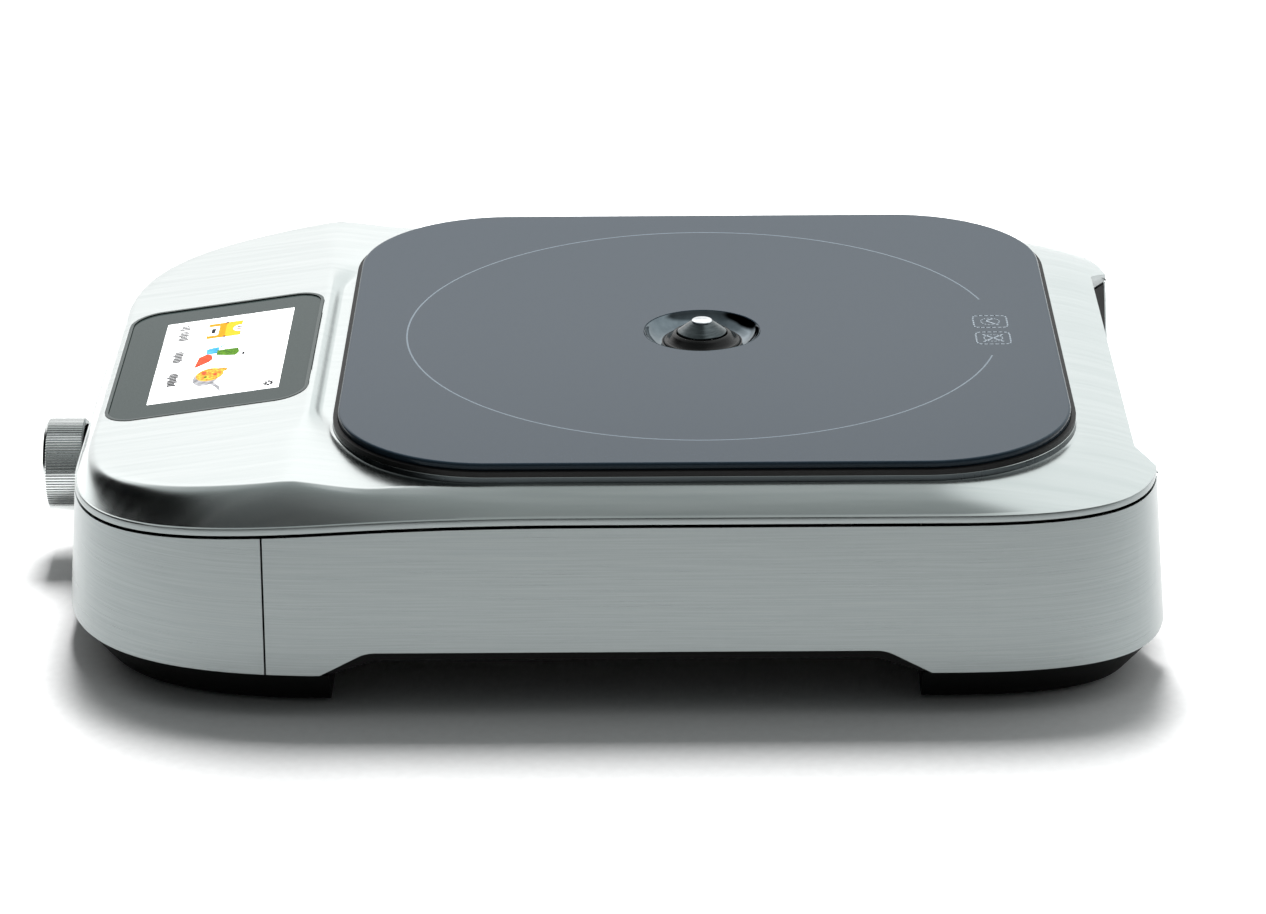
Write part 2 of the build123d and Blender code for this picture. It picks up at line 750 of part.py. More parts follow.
DUCT_LEFT = -96.0
DUCT_RIGHT = 66.0
with BuildPart() as air_duct:
    with BuildSketch(Plane.XZ.offset(-(FAN_Y + 44))):
        with Locations(((DUCT_LEFT + DUCT_RIGHT) / 2, 52)):
            Rectangle(DUCT_RIGHT - DUCT_LEFT, 44)
            Rectangle(DUCT_RIGHT - DUCT_LEFT - 3, 41, mode=Mode.SUBTRACT)
    extrude(amount=-(RECESS_Y - PANEL_THICKNESS - 0.5 - FAN_Y - 44))
save(air_duct.part, "air_duct")

# ---- touch screen ----
LENS_DROP = 0.4
LENS_THICKNESS = 2.0
with BuildPart() as screen_lens:
    with BuildSketch(SCREEN_PLANE.offset(-LENS_DROP - LENS_THICKNESS)):
        RectangleRounded(SCREEN_WIDE, SCREEN_DEEP, SCREEN_CORNER)
    extrude(amount=LENS_THICKNESS)
    chamfer(screen_lens.faces().sort_by(Axis.Z)[-1].edges(), length=0.3)
save(screen_lens.part, "screen_lens")

with BuildPart() as screen_gasket:
    with BuildSketch(SCREEN_PLANE.offset(-4.0)):
        RectangleRounded(SCREEN_WIDE + 3.2, SCREEN_DEEP + 3.2, SCREEN_CORNER + 1.6)
        RectangleRounded(SCREEN_WIDE + 0.4, SCREEN_DEEP + 0.4, SCREEN_CORNER + 0.2, mode=Mode.SUBTRACT)
    extrude(amount=4.2)
save(screen_gasket.part, "screen_gasket")

PANEL_TOP = -LENS_DROP - LENS_THICKNESS
with BuildPart() as lcd_panel:
    with BuildSketch(SCREEN_PLANE.offset(PANEL_TOP - 3)):
        RectangleRounded(106, 68, 1.5)
    extrude(amount=3)
save(lcd_panel.part, "lcd_panel")

with BuildPart() as display_bracket:
    with BuildSketch(SCREEN_PLANE.offset(-7.4)):
        RectangleRounded(SCREEN_WIDE + 12, SCREEN_DEEP + 12, SCREEN_CORNER + 6)
    extrude(amount=2)
    with BuildSketch(SCREEN_PLANE.offset(-5.4)):
        RectangleRounded(SCREEN_WIDE + 3.2, SCREEN_DEEP + 3.2, SCREEN_CORNER + 1.6)
        RectangleRounded(110, 72, 3, mode=Mode.SUBTRACT)
    extrude(amount=1.4)
    with BuildSketch(SCREEN_PLANE.offset(-12)):
        with GridLocations(100, 62, 2, 2):
            Circle(3)
    extrude(amount=4.6)
save(display_bracket.part, "display_bracket")

with BuildPart() as control_board:
    with BuildSketch(SCREEN_PLANE.offset(-13.6)):
        RectangleRounded(112, 74, 2)
    extrude(amount=1.6)
save(control_board.part, "control_board")

with BuildPart() as buzzer:
    with BuildSketch(SCREEN_PLANE.offset(-13.6)):
        with Locations((35, 20)):
            Circle(6)
    extrude(amount=-7)
    with BuildSketch(SCREEN_PLANE.offset(-20.6)):
        with Locations((35, 20)):
            Circle(1.2)
    extrude(amount=2, mode=Mode.SUBTRACT)
save(buzzer.part, "buzzer")

# ---- dial, its encoder and ring ----
RING_FACE = -216.8
RING_FLOOR = -213.8
ENCODER_FACE = -210.5
NUT_POCKET = 8.0
BUSH_RADIUS = 4.5
with BuildPart() as dial_ring:
    with BuildSketch(front_plane(0, ENCODER_FACE, DIAL_Z)):
        Circle(RING_RADIUS)
    extrude(amount=ENCODER_FACE - RING_FACE)
    with BuildSketch(front_plane(0, ENCODER_FACE, DIAL_Z)):
        Circle(RING_RADIUS + 1.6)
    extrude(amount=1.5)
    with BuildSketch(front_plane(0, RING_FLOOR, DIAL_Z)):
        Circle(NUT_POCKET)
    extrude(amount=RING_FLOOR - RING_FACE, mode=Mode.SUBTRACT)
    with BuildSketch(front_plane(0, ENCODER_FACE, DIAL_Z)):
        Circle(BUSH_RADIUS + RUNNING_GAP)
    extrude(amount=ENCODER_FACE - RING_FLOOR, mode=Mode.SUBTRACT)
save(dial_ring.part, "dial_ring")

HUB_RADIUS = 6.0
with BuildPart() as dial_knob:
    with BuildSketch(front_plane(0, DIAL_BACK, DIAL_Z)):
        Circle(DIAL_RADIUS)
    extrude(amount=DIAL_BACK - DIAL_FACE)
    chamfer(dial_knob.edges().group_by(Axis.Y)[0], length=0.8)
    with BuildSketch(front_plane(0, DIAL_BACK, DIAL_Z)):
        Circle(DIAL_RADIUS - 2.5)
        Circle(HUB_RADIUS, mode=Mode.SUBTRACT)
    extrude(amount=13, mode=Mode.SUBTRACT)
    with BuildSketch(front_plane(0, DIAL_BACK, DIAL_Z)):
        Circle(HUB_RADIUS)
    extrude(amount=1.5, mode=Mode.SUBTRACT)
    with BuildSketch(front_plane(0, DIAL_BACK, DIAL_Z)):
        Circle(SHAFT_RADIUS)
    extrude(amount=13.5, mode=Mode.SUBTRACT)
save(dial_knob.part, "dial_knob")

SHAFT_END = -205.0
with BuildPart() as encoder_shaft:
    with BuildSketch(front_plane(0, SHAFT_END, DIAL_Z)):
        Circle(SHAFT_RADIUS)
    extrude(amount=SHAFT_END - DIAL_BACK + 13.5)
save(encoder_shaft.part, "encoder_shaft")

ENCODER_REAR = -200.0
with BuildPart() as encoder_body:
    with BuildSketch(front_plane(0, ENCODER_REAR, DIAL_Z)):
        RectangleRounded(15, 15, 1)
    extrude(amount=ENCODER_REAR - ENCODER_FACE)
    with BuildSketch(front_plane(0, ENCODER_FACE, DIAL_Z)):
        Circle(BUSH_RADIUS)
    extrude(amount=5)
    with BuildSketch(front_plane(0, ENCODER_REAR - 1.5, DIAL_Z)):
        Circle(5.2)
    extrude(amount=5.5, mode=Mode.SUBTRACT)
    with BuildSketch(front_plane(0, ENCODER_REAR - 5, DIAL_Z)):
        Circle(SHAFT_RADIUS + RUNNING_GAP)
    extrude(amount=12, mode=Mode.SUBTRACT)
save(encoder_body.part, "encoder_body")

with BuildPart() as encoder_nut:
    with BuildSketch(front_plane(0, RING_FLOOR, DIAL_Z)):
        RegularPolygon(7, 6)
        Circle(BUSH_RADIUS + RUNNING_GAP, mode=Mode.SUBTRACT)
    extrude(amount=1.4)
save(encoder_nut.part, "encoder_nut")

with BuildPart() as encoder_push_plate:
    with BuildSketch(front_plane(0, SHAFT_END + 1.3, DIAL_Z)):
        Circle(4.4)
    extrude(amount=1.0)
    chamfer(encoder_push_plate.edges(), length=0.2)
save(encoder_push_plate.part, "encoder_push_plate")

# ---- power button and the bracket behind the front wall ----
BUTTON_FACE = -216.9
BUTTON_END = -208.0
with BuildPart() as power_button:
    with BuildSketch(front_plane(BUTTON_X, BUTTON_END, DIAL_Z)):
        Circle(BUTTON_RADIUS)
    extrude(amount=BUTTON_END - BUTTON_FACE)
    fillet(power_button.edges().group_by(Axis.Y)[0], radius=0.6)
    with BuildSketch(front_plane(BUTTON_X, BUTTON_END, DIAL_Z)):
        Circle(BUTTON_RADIUS + 1.5)
    extrude(amount=2)
save(power_button.part, "power_button")

with BuildPart() as power_switch:
    with BuildSketch(front_plane(BUTTON_X, ENCODER_REAR, DIAL_Z)):
        Rectangle(12, 12)
    extrude(amount=4.5)
    with BuildSketch(front_plane(BUTTON_X, ENCODER_REAR - 4.5, DIAL_Z)):
        Circle(3.2)
    extrude(amount=1.8)
save(power_switch.part, "power_switch")

with BuildPart() as front_bracket:
    with BuildSketch(front_plane(BUTTON_X / 2, ENCODER_REAR + 2.5, DIAL_Z)):
        RectangleRounded(100, 26, 3)
    extrude(amount=2.5)
    with BuildSketch(Plane(origin=(BUTTON_X / 2, ENCODER_REAR + 7.5, DIAL_Z - 13))):
        Rectangle(100, 15)
    extrude(amount=2.5)
save(front_bracket.part, "front_bracket")
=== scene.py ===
# %% [markdown]
# # A portable induction cooker, in its finishes
# The engineering model is already finished: every solid has its place, its body and its joints.
# This lesson loads that model as a fixed frame and builds the surfaces that the eye judges: the pressed
# steel cover, the dark glass, the turned sensor, the knurled dial and the lit screen. Everything is in
# metres in the frame's own axes: +Z up, and the control side facing -Y.

# %% Load the frame
import bmesh
import bpy
import json
from math import cos, pi, radians, sin, sqrt, tan
from mathutils import Matrix, Vector
from mathutils.geometry import interpolate_bezier


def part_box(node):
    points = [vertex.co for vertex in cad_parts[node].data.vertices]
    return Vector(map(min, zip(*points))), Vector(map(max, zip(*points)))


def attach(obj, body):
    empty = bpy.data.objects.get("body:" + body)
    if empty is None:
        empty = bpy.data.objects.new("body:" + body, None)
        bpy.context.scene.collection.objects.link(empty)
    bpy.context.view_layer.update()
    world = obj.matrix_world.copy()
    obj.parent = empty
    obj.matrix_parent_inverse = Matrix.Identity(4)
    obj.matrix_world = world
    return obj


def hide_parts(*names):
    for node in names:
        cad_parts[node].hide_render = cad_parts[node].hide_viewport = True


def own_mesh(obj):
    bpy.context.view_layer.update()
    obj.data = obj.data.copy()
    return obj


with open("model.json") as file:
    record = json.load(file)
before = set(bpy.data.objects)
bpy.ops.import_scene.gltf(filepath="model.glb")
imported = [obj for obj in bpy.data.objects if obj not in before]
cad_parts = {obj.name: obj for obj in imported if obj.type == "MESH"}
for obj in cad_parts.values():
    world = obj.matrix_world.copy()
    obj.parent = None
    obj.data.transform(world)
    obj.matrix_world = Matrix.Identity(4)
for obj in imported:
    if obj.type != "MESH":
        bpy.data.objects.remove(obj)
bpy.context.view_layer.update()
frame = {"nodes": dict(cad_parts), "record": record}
MM = 0.001

# %% [markdown]
# ## Camera
# A long lens set well back keeps the near and the far edge of the glass almost the same length. A wide
# lens close by would show more of the front, but it would swell the near corners. The camera looks along
# -X, a little down, at the right-hand side.

# %% Camera
CAMERA_PLACE = Vector((1.8500, 0.0301, 0.7937))
LOOK_DOWN = radians(22.103)
LOOK_ASIDE = radians(0.387)
LEAN = radians(-0.481)
FOCAL_LENGTH = 131.55
SENSOR_WIDTH = 36.0

ahead = Vector((-cos(LOOK_DOWN) * cos(LOOK_ASIDE), -cos(LOOK_DOWN) * sin(LOOK_ASIDE), -sin(LOOK_DOWN)))
level_right = ahead.cross(Vector((0, 0, 1))).normalized()
level_up = level_right.cross(ahead)
right = cos(LEAN) * level_right + sin(LEAN) * level_up
up = cos(LEAN) * level_up - sin(LEAN) * level_right
camera = bpy.data.objects.new("camera", bpy.data.cameras.new("camera"))
camera.data.lens = FOCAL_LENGTH
camera.data.sensor_width = SENSOR_WIDTH
turned = Matrix((right, up, -ahead)).transposed().to_4x4()
camera.matrix_world = Matrix.Translation(CAMERA_PLACE) @ turned
bpy.context.scene.collection.objects.link(camera)
bpy.context.scene.camera = camera
bpy.context.scene.view_settings.view_transform = "Standard"
print("camera looks along", [round(value, 3) for value in ahead])

# %% [markdown]
# ## Colours and nodes
# Paint colours are written as sRGB hex, as a colour picker gives them, and Blender mixes light in linear
# numbers, so one function turns one into the other. A second one adds a shader node, sets it and wires
# it. A node tree could be drawn by hand in the editor, but written out it can be read and changed.

# %% Colour and node helpers
def colour(code):
    """An sRGB hex colour as linear RGBA."""
    parts = [int(code[start:start + 2], 16) / 255 for start in (0, 2, 4)]
    return [part / 12.92 if part <= 0.04045 else ((part + 0.055) / 1.055) ** 2.4 for part in parts] + [1.0]


def node(tree, kind, inputs=None, stops=(), **settings):
    """Adds one node. Inputs are set, or linked if they are another node's output; stops fill a ramp."""
    made = tree.nodes.new(kind)
    for name, value in settings.items():
        setattr(made, name, value)
    for name, value in (inputs or {}).items():
        if isinstance(value, bpy.types.NodeSocket):
            tree.links.new(value, made.inputs[name])
        else:
            made.inputs[name].default_value = value
    if stops:
        while len(made.color_ramp.elements) < len(stops):
            made.color_ramp.elements.new(1.0)
        for element, (place, shade) in zip(made.color_ramp.elements, stops):
            element.position = place
            element.color = shade
    return made


# A Mix node has a set of sockets for each kind of value. These are the ones for colours.
MIX_A, MIX_B, MIXED = 6, 7, 2
print("mid grey in linear light:", round(colour("808080")[0], 3))

# %% [markdown]
# ## Studio
# Steel shows the room, so the room is designed: bright paper behind the object, a dim side towards the
# camera, a pale glow at the rear, and a black card off the front corner that gives the steel its one deep
# reflection. Real panels could stand round the object, but they would cast shadows too, so the sky
# carries these as soft bands by direction. Each ray may see its own strength of it: mirrored rays see the
# whole, scattered ones half, so that the softbox's shadow stays deep, and the camera sees plain white.

# %% Sky colours
PAPER = [
    (0.0, (1.3, 1.3, 1.3, 1)),
    (0.325, (1.35, 1.35, 1.35, 1)),
    (0.352, (1.7, 1.7, 1.7, 1)),
    (0.42, (1.9, 1.9, 1.9, 1)),
    (0.55, (1.4, 1.4, 1.4, 1)),
    (0.7, (0.72, 0.75, 0.75, 1)),
    (0.88, (0.50, 0.53, 0.53, 1)),
    (1.0, (0.38, 0.41, 0.41, 1)),
]
DIM_SIDE = [
    (0.0, (0.03, 0.032, 0.032, 1)),
    (0.17, (0.05, 0.053, 0.053, 1)),
    (0.5, (0.19, 0.20, 0.20, 1)),
    (0.8, (0.28, 0.30, 0.30, 1)),
    (1.0, (0.38, 0.41, 0.41, 1)),
]
CARD = [(0.0, (1, 1, 1, 1)), (0.64, (1, 1, 1, 1)), (0.82, (0, 0, 0, 1))]
REAR_GLOW = (1.25, 1.29, 1.29, 1)
BLACK = (0.0, 0.0, 0.0, 1)
WHITE = (1, 1, 1, 1)
# Each band fades in between two values of the direction's X or Y, which run from -1 to 1.
CAMERA_SIDE = {"From Min": -0.15, "From Max": 0.3}
REAR_SIDE = {"From Min": 0.04, "From Max": 0.22}
FAR_SIDE = {"From Min": 0.35, "From Max": 0.0}
FRONT_SIDE = {"From Min": -0.55, "From Max": -0.75}
MIRRORED_STRENGTH = 1.0
SCATTERED_STRENGTH = 0.5
print(len(PAPER), "bands of paper and", len(DIM_SIDE), "of the dim side")

# %% Sky
world = bpy.data.worlds.new("studio")
bpy.context.scene.world = world
world.use_nodes = True
sky = world.node_tree
sky.nodes.clear()
way = node(sky, "ShaderNodeSeparateXYZ", {"Vector": node(sky, "ShaderNodeTexCoord").outputs["Generated"]})
side_x, side_y, height = way.outputs["X"], way.outputs["Y"], way.outputs["Z"]
bands = [node(sky, "ShaderNodeValToRGB", {"Fac": height}, stops=stops) for stops in (PAPER, DIM_SIDE, CARD)]
paper_light, dim_light, card_shape = [band.outputs["Color"] for band in bands]
fades = [
    node(sky, "ShaderNodeMapRange", {"Value": value, **limits}, interpolation_type="SMOOTHSTEP")
    for value, limits in (
        (side_x, CAMERA_SIDE),
        (side_y, REAR_SIDE),
        (side_x, FAR_SIDE),
        (side_y, FRONT_SIDE),
    )
]
toward_camera, at_rear, away, in_front = [fade.outputs["Result"] for fade in fades]
glow = node(sky, "ShaderNodeMath", {0: at_rear, 1: away}, operation="MULTIPLY")
shade = node(sky, "ShaderNodeMath", {0: in_front, 1: card_shape}, operation="MULTIPLY")
room = paper_light
for amount, light in ((toward_camera, dim_light), (glow.outputs[0], REAR_GLOW), (shade.outputs[0], BLACK)):
    mix = node(sky, "ShaderNodeMix", {"Factor": amount, MIX_A: room, MIX_B: light}, data_type="RGBA")
    room = mix.outputs[MIXED]
ray = node(sky, "ShaderNodeLightPath")
mirrored = node(sky, "ShaderNodeBackground", {"Color": room, "Strength": MIRRORED_STRENGTH})
scattered = node(sky, "ShaderNodeBackground", {"Color": room, "Strength": SCATTERED_STRENGTH})
white_paper = node(sky, "ShaderNodeBackground", {"Color": WHITE, "Strength": 1.0})
lit_room = node(
    sky,
    "ShaderNodeMixShader",
    {"Fac": ray.outputs["Is Diffuse Ray"], 1: mirrored.outputs[0], 2: scattered.outputs[0]},
)
seen = node(
    sky,
    "ShaderNodeMixShader",
    {"Fac": ray.outputs["Is Camera Ray"], 1: lit_room.outputs[0], 2: white_paper.outputs[0]},
)
node(sky, "ShaderNodeOutputWorld", {"Surface": seen.outputs[0]})
print("sky of", len(sky.nodes), "nodes")

# %% [markdown]
# One softbox overhead, a little beyond the object, throws the shadow that lies towards the camera. It is
# hidden from the camera and from reflections, because the sky already draws what the steel mirrors.


# %% Softbox
def softbox(name, place, target, width, depth, power):
    """A rectangular area light at a place, turned to a target, in metres and watts."""
    light = bpy.data.objects.new(name, bpy.data.lights.new(name, "AREA"))
    light.data.shape = "RECTANGLE"
    light.data.size = width
    light.data.size_y = depth
    light.data.energy = power
    light.location = place
    light.visible_camera = False
    light.visible_glossy = False
    light.rotation_euler = (Vector(target) - Vector(place)).to_track_quat("-Z", "Y").to_euler()
    bpy.context.scene.collection.objects.link(light)
    print(name, power, "W")


softbox("overhead_softbox", place=(-1.02, 0.0, 1.82), target=(0, 0, 0), width=0.7, depth=1.1, power=88)

# %% [markdown]
# ## Finishes
# Most finishes need the same three things: a grain of the right size, a colour that wanders a little with
# it, and a roughness and bump that follow. One function builds them, and each call below says what the
# real finish is. The grain is a real length in millimetres, and stretch draws it out along an axis, which
# is how brushing is made. A noise's scale is its number of grains in a metre, hence the 1000.

# %% Finish helper
materials = {}
EVEN = (1, 1, 1)
GRAIN_LOW, GRAIN_HIGH = 0.3, 0.7
BUMP_DEPTH = 0.1 * MM


def finish(name, colours, grain, stretch=EVEN, rough=(0.4, 0.5), bump=0.1, **constants):
    """A material whose colour runs between two hex colours on a stretched noise, with roughness and bump."""
    material = bpy.data.materials.new(name)
    material.use_nodes = True
    tree = material.node_tree
    tree.nodes.clear()
    scale = [1000 / (grain * length) for length in stretch]
    place = node(tree, "ShaderNodeTexCoord").outputs["Object"]
    where = node(tree, "ShaderNodeMapping", {"Vector": place, "Scale": scale})
    grains = node(tree, "ShaderNodeTexNoise", {"Vector": where.outputs[0], "Scale": 1.0, "Detail": 3.0})
    stops = [(GRAIN_LOW, colour(colours[0])), (GRAIN_HIGH, colour(colours[1]))]
    tone = node(tree, "ShaderNodeValToRGB", {"Fac": grains.outputs["Fac"]}, stops=stops)
    limits = {"From Min": GRAIN_LOW, "From Max": GRAIN_HIGH, "To Min": rough[0], "To Max": rough[1]}
    sheen = node(tree, "ShaderNodeMapRange", {"Value": grains.outputs["Fac"], **limits})
    relief = node(
        tree, "ShaderNodeBump", {"Height": grains.outputs["Fac"], "Strength": bump, "Distance": BUMP_DEPTH}
    )
    surface = {"Base Color": tone.outputs["Color"], "Roughness": sheen.outputs[0], "Normal": relief.outputs[0]}
    shader = node(tree, "ShaderNodeBsdfPrincipled", {**surface, **constants})
    node(tree, "ShaderNodeOutputMaterial", {"Surface": shader.outputs[0]})
    materials[name] = material
    return material


# %% [markdown]
# Brushed stainless steel is rolled sheet drawn under an abrasive belt. The belt leaves fine parallel
# scratches, about 0.1 mm wide on the real sheet and drawn 0.5 mm here so that they show, and tens of
# millimetres long. They run round the casing, so the noise is long in X and Y and short in Z. On the
# cover they run front to back, and they are drawn 3 mm wide, because finer ones break up in its bright
# reflections. Steel is a metal, so its colour is its reflection.

# %% Metals
METAL = {"Metallic": 1.0}
ROUND_CASING = (90, 90, 1)
FRONT_TO_BACK = (6, 160, 80)
# Belt-brushed sheet shows the room as soft bands. The sides are the cover's steel painted darker, a painted
# shade for the shaded floor they mirror. The collar's is darker, as it stands in the glass's shade.
finish("shade_darkened_steel_sides", ("848A8A", "8F9595"), 0.5, ROUND_CASING, (0.27, 0.33), 0.08, **METAL)
finish("brushed_steel_cover", ("C0C6C5", "C9CECD"), 0.5, FRONT_TO_BACK, (0.20, 0.24), 0.03, **METAL)
finish("shaded_steel_collar", ("3A3F41", "484E50"), 0.5, FRONT_TO_BACK, (0.25, 0.32), 0.05, **METAL)
# Buffed steel mirrors the room sharply. The well is the cap's buffed steel painted darker, a painted shade in
# its dish.
finish("polished_steel_cap", ("B9BDC0", "DDE0E2"), 3.0, EVEN, (0.05, 0.12), 0.02, **METAL)
finish("shade_darkened_well", ("5F696F", "6C767C"), 3.0, EVEN, (0.06, 0.10), 0.01, **METAL)
# Turned parts keep the fine marks of the lathe, which spread a highlight a little.
finish("satin_turned_steel", ("7E8284", "A5A9AB"), 0.3, EVEN, (0.28, 0.4), 0.1, **METAL)
finish("dark_plated_cone", ("3C4244", "565D5F"), 0.6, (8, 8, 1), (0.16, 0.26), 0.06, **METAL)
finish("turned_aluminium", ("CDD1D0", "E6E9E8"), 0.25, EVEN, (0.14, 0.22), 0.1, **METAL)
# Drawn, extruded, plated and wound metals are only seen inside.
finish("drawn_spring_wire", ("84878A", "A7AAAC"), 0.3, EVEN, (0.25, 0.35), 0.05, **METAL)
finish("extruded_aluminium", ("B9BCC0", "D5D7DA"), 0.4, (1, 60, 1), (0.35, 0.45), 0.15, **METAL)
finish("zinc_plating", ("A9AEB1", "C9CDCF"), 0.8, EVEN, (0.2, 0.35), 0.05, **METAL)
finish("enamelled_copper", ("A85A32", "C87A4A"), 0.4, (6, 6, 1), (0.22, 0.32), 0.1, **METAL)
print(len(materials), "metals")

# %% [markdown]
# Moulded plastics, rubber and ceramics are dielectrics: their colour is in the body, and a faint gloss
# lies on top. Moulded black plastic has a spark-eroded texture of about 0.3 mm grains. The gloss of the
# black ones is set low, because the bright sky would otherwise turn them grey.

# %% Plastics, rubber and ceramics
GLOSS = "Specular IOR Level"
finish("moulded_black_plastic", ("030303", "080808"), 0.35, EVEN, (0.5, 0.62), 0.3, **{GLOSS: 0.12})
finish("black_silicone_rubber", ("040404", "0B0B0B"), 0.5, EVEN, (0.4, 0.55), 0.1, **{GLOSS: 0.25})
finish("glossy_silicone_boot", ("030303", "060606"), 0.8, EVEN, (0.2, 0.28), 0.02, **{GLOSS: 0.2})
finish("grey_moulded_frame", ("363D3C", "404746"), 0.4, EVEN, (0.3, 0.4), 0.05, **{GLOSS: 0.2})
finish("moulded_white_nylon", ("CFCEC4", "DEDDD3"), 0.6, EVEN, (0.4, 0.5), 0.1)
finish("sintered_ferrite", ("19191B", "28282B"), 0.4, EVEN, (0.55, 0.7), 0.3)
finish("pressed_mica", ("A99878", "D3C6A6"), 2.0, EVEN, (0.35, 0.5), 0.15)
finish("green_solder_mask", ("0D4423", "12552C"), 1.6, (1, 6, 1), (0.25, 0.35), 0.1)
finish("dipped_capacitor_case", ("A8862F", "C09C41"), 1.0, EVEN, (0.25, 0.35), 0.05)
print(len(materials), "finishes so far")

# %% [markdown]
# ## Finishes of the CAD nodes
# A CAD node whose shape is right stays as it is, and only its material slot changes. Each node's slot in
# the record names the material of the real part, so one table from slots to finishes dresses them all.
# The screen's frame is the one exception: its slot is rubber, and it is seen, so it gets its own grey.

# %% Sort the CAD nodes by the finish of their slot
SLOT_FINISH = {
    # the side bands take the cover's steel painted darker: painted shade
    "brushed_steel": "shade_darkened_steel_sides",
    "black_rubber": "black_silicone_rubber",
    "black_plastic": "moulded_black_plastic",
    "polished_steel": "polished_steel_cap",
    "satin_steel": "satin_turned_steel",
    "spring_steel": "drawn_spring_wire",
    "white_plastic": "moulded_white_nylon",
    "copper": "enamelled_copper",
    "ferrite": "sintered_ferrite",
    "mica": "pressed_mica",
    "aluminium": "extruded_aluminium",
    "turned_aluminium": "turned_aluminium",
    "zinc_screw": "zinc_plating",
    "circuit_board": "green_solder_mask",
    "capacitor_case": "dipped_capacitor_case",
    "screen_glass": "moulded_black_plastic",
    "display": "moulded_white_nylon",
    "hob_glass": "moulded_black_plastic",
}
for subpart in frame["record"]["subparts"]:
    piece = frame["nodes"][subpart["node"]]
    piece.data.materials.clear()
    piece.data.materials.append(materials[SLOT_FINISH[subpart["material_slot"]]])
frame["nodes"]["screen_gasket"].data.materials[0] = materials["grey_moulded_frame"]
print(len(frame["nodes"]), "CAD nodes dressed")

# %% [markdown]
# ## Hob glass finish
# The hob is glass ceramic printed on the underside. Its body is nearly black with a little blue, and it
# takes most of its slate look from the pale room it mirrors. A thin ring of light enamel marks the
# cooking zone. The ring is drawn by distance from the centre, because a mesh that fine would be heavy,
# and it opens at the rear, where the pictograms stand.

# %% Hob glass with its printed ring
HOB_Y = 47.5 * MM
RING_RADIUS = 125.8 * MM
RING_WIDTH = 0.7 * MM
GAP_MIDDLE = -2 * MM
GAP_HALF = 34 * MM
FLECK = 0.8

glass = bpy.data.materials.new("printed_glass_ceramic")
glass.use_nodes = True
tree = glass.node_tree
tree.nodes.clear()
place = node(tree, "ShaderNodeTexCoord").outputs["Object"]
centred = node(tree, "ShaderNodeMapping", {"Vector": place, "Location": (0, -HOB_Y, 0), "Scale": (1, 1, 0)})
reach = node(tree, "ShaderNodeVectorMath", {0: centred.outputs[0]}, operation="LENGTH").outputs["Value"]
on_ring = node(tree, "ShaderNodeMath", {0: reach, 1: RING_RADIUS, 2: RING_WIDTH / 2}, operation="COMPARE")
parts = node(tree, "ShaderNodeSeparateXYZ", {"Vector": centred.outputs[0]})
in_gap = node(tree, "ShaderNodeMath", {0: parts.outputs["X"], 1: GAP_MIDDLE, 2: GAP_HALF}, operation="COMPARE")
behind = node(tree, "ShaderNodeMath", {0: parts.outputs["Y"], 1: 0.0}, operation="GREATER_THAN")
opening = node(tree, "ShaderNodeMath", {0: in_gap.outputs[0], 1: behind.outputs[0]}, operation="MULTIPLY")
printed = node(
    tree, "ShaderNodeMath", {0: on_ring.outputs[0], 1: opening.outputs[0]}, operation="SUBTRACT", use_clamp=True
)
fleck = node(tree, "ShaderNodeTexNoise", {"Vector": place, "Scale": 1000 / FLECK, "Detail": 2.0}).outputs["Fac"]
stops = [(GRAIN_LOW, colour("1F2A33")), (GRAIN_HIGH, colour("232F39"))]
body_tone = node(tree, "ShaderNodeValToRGB", {"Fac": fleck}, stops=stops).outputs["Color"]
skin = node(
    tree,
    "ShaderNodeMix",
    {"Factor": printed.outputs[0], MIX_A: body_tone, MIX_B: colour("5C6770")},
    data_type="RGBA",
)
smooth = node(tree, "ShaderNodeMapRange", {"Value": fleck, "To Min": 0.05, "To Max": 0.09})
surface = {
    "Base Color": skin.outputs[MIXED],
    "Roughness": smooth.outputs[0],
    GLOSS: 0.12,
    "Specular Tint": (0.85, 0.96, 1.0, 1.0),
}
shader = node(tree, "ShaderNodeBsdfPrincipled", surface)
node(tree, "ShaderNodeOutputMaterial", {"Surface": shader.outputs[0]})
materials["printed_glass_ceramic"] = glass
print("glass ring radius", RING_RADIUS)

# %% [markdown]
# ## Rings
# Most of the casing is a stack of closed outlines that change a little from one level to the next. So one
# helper starts a bmesh with the first outline, extrudes its edges and moves the new points onto the next
# outline, again and again. Because each outline has the same number of points, the faces stay clean.

# %% Helpers that make and finish a piece
SHARP = radians(32)


def rings(outlines, last_face=False, first_face=False):
    """A bmesh that joins outlines of equal length, with a face closing either end if asked."""
    bm = bmesh.new()
    verts = [bm.verts.new(point) for point in outlines[0]]
    edges = [bm.edges.new((verts[i - 1], verts[i])) for i in range(len(verts))]
    if first_face:
        bm.faces.new(verts)
    for outline in outlines[1:]:
        made = bmesh.ops.extrude_edge_only(bm, edges=edges)["geom"]
        fresh = {part for part in made if isinstance(part, bmesh.types.BMVert)}
        verts = [next(e.other_vert(v) for e in v.link_edges if e.other_vert(v) in fresh) for v in verts]
        for vert, point in zip(verts, outline):
            vert.co = point
        edges = [bm.edges.get((verts[i - 1], verts[i])) for i in range(len(verts))]
    if last_face:
        bm.faces.new(verts)
    return bm


def verts_in(geom):
    """The vertices in what an operator made."""
    return [part for part in geom if isinstance(part, bmesh.types.BMVert)]


def to_metres(bm):
    """Shrinks a bmesh that was drawn in millimetres."""
    bmesh.ops.scale(bm, vec=(MM, MM, MM), verts=bm.verts)


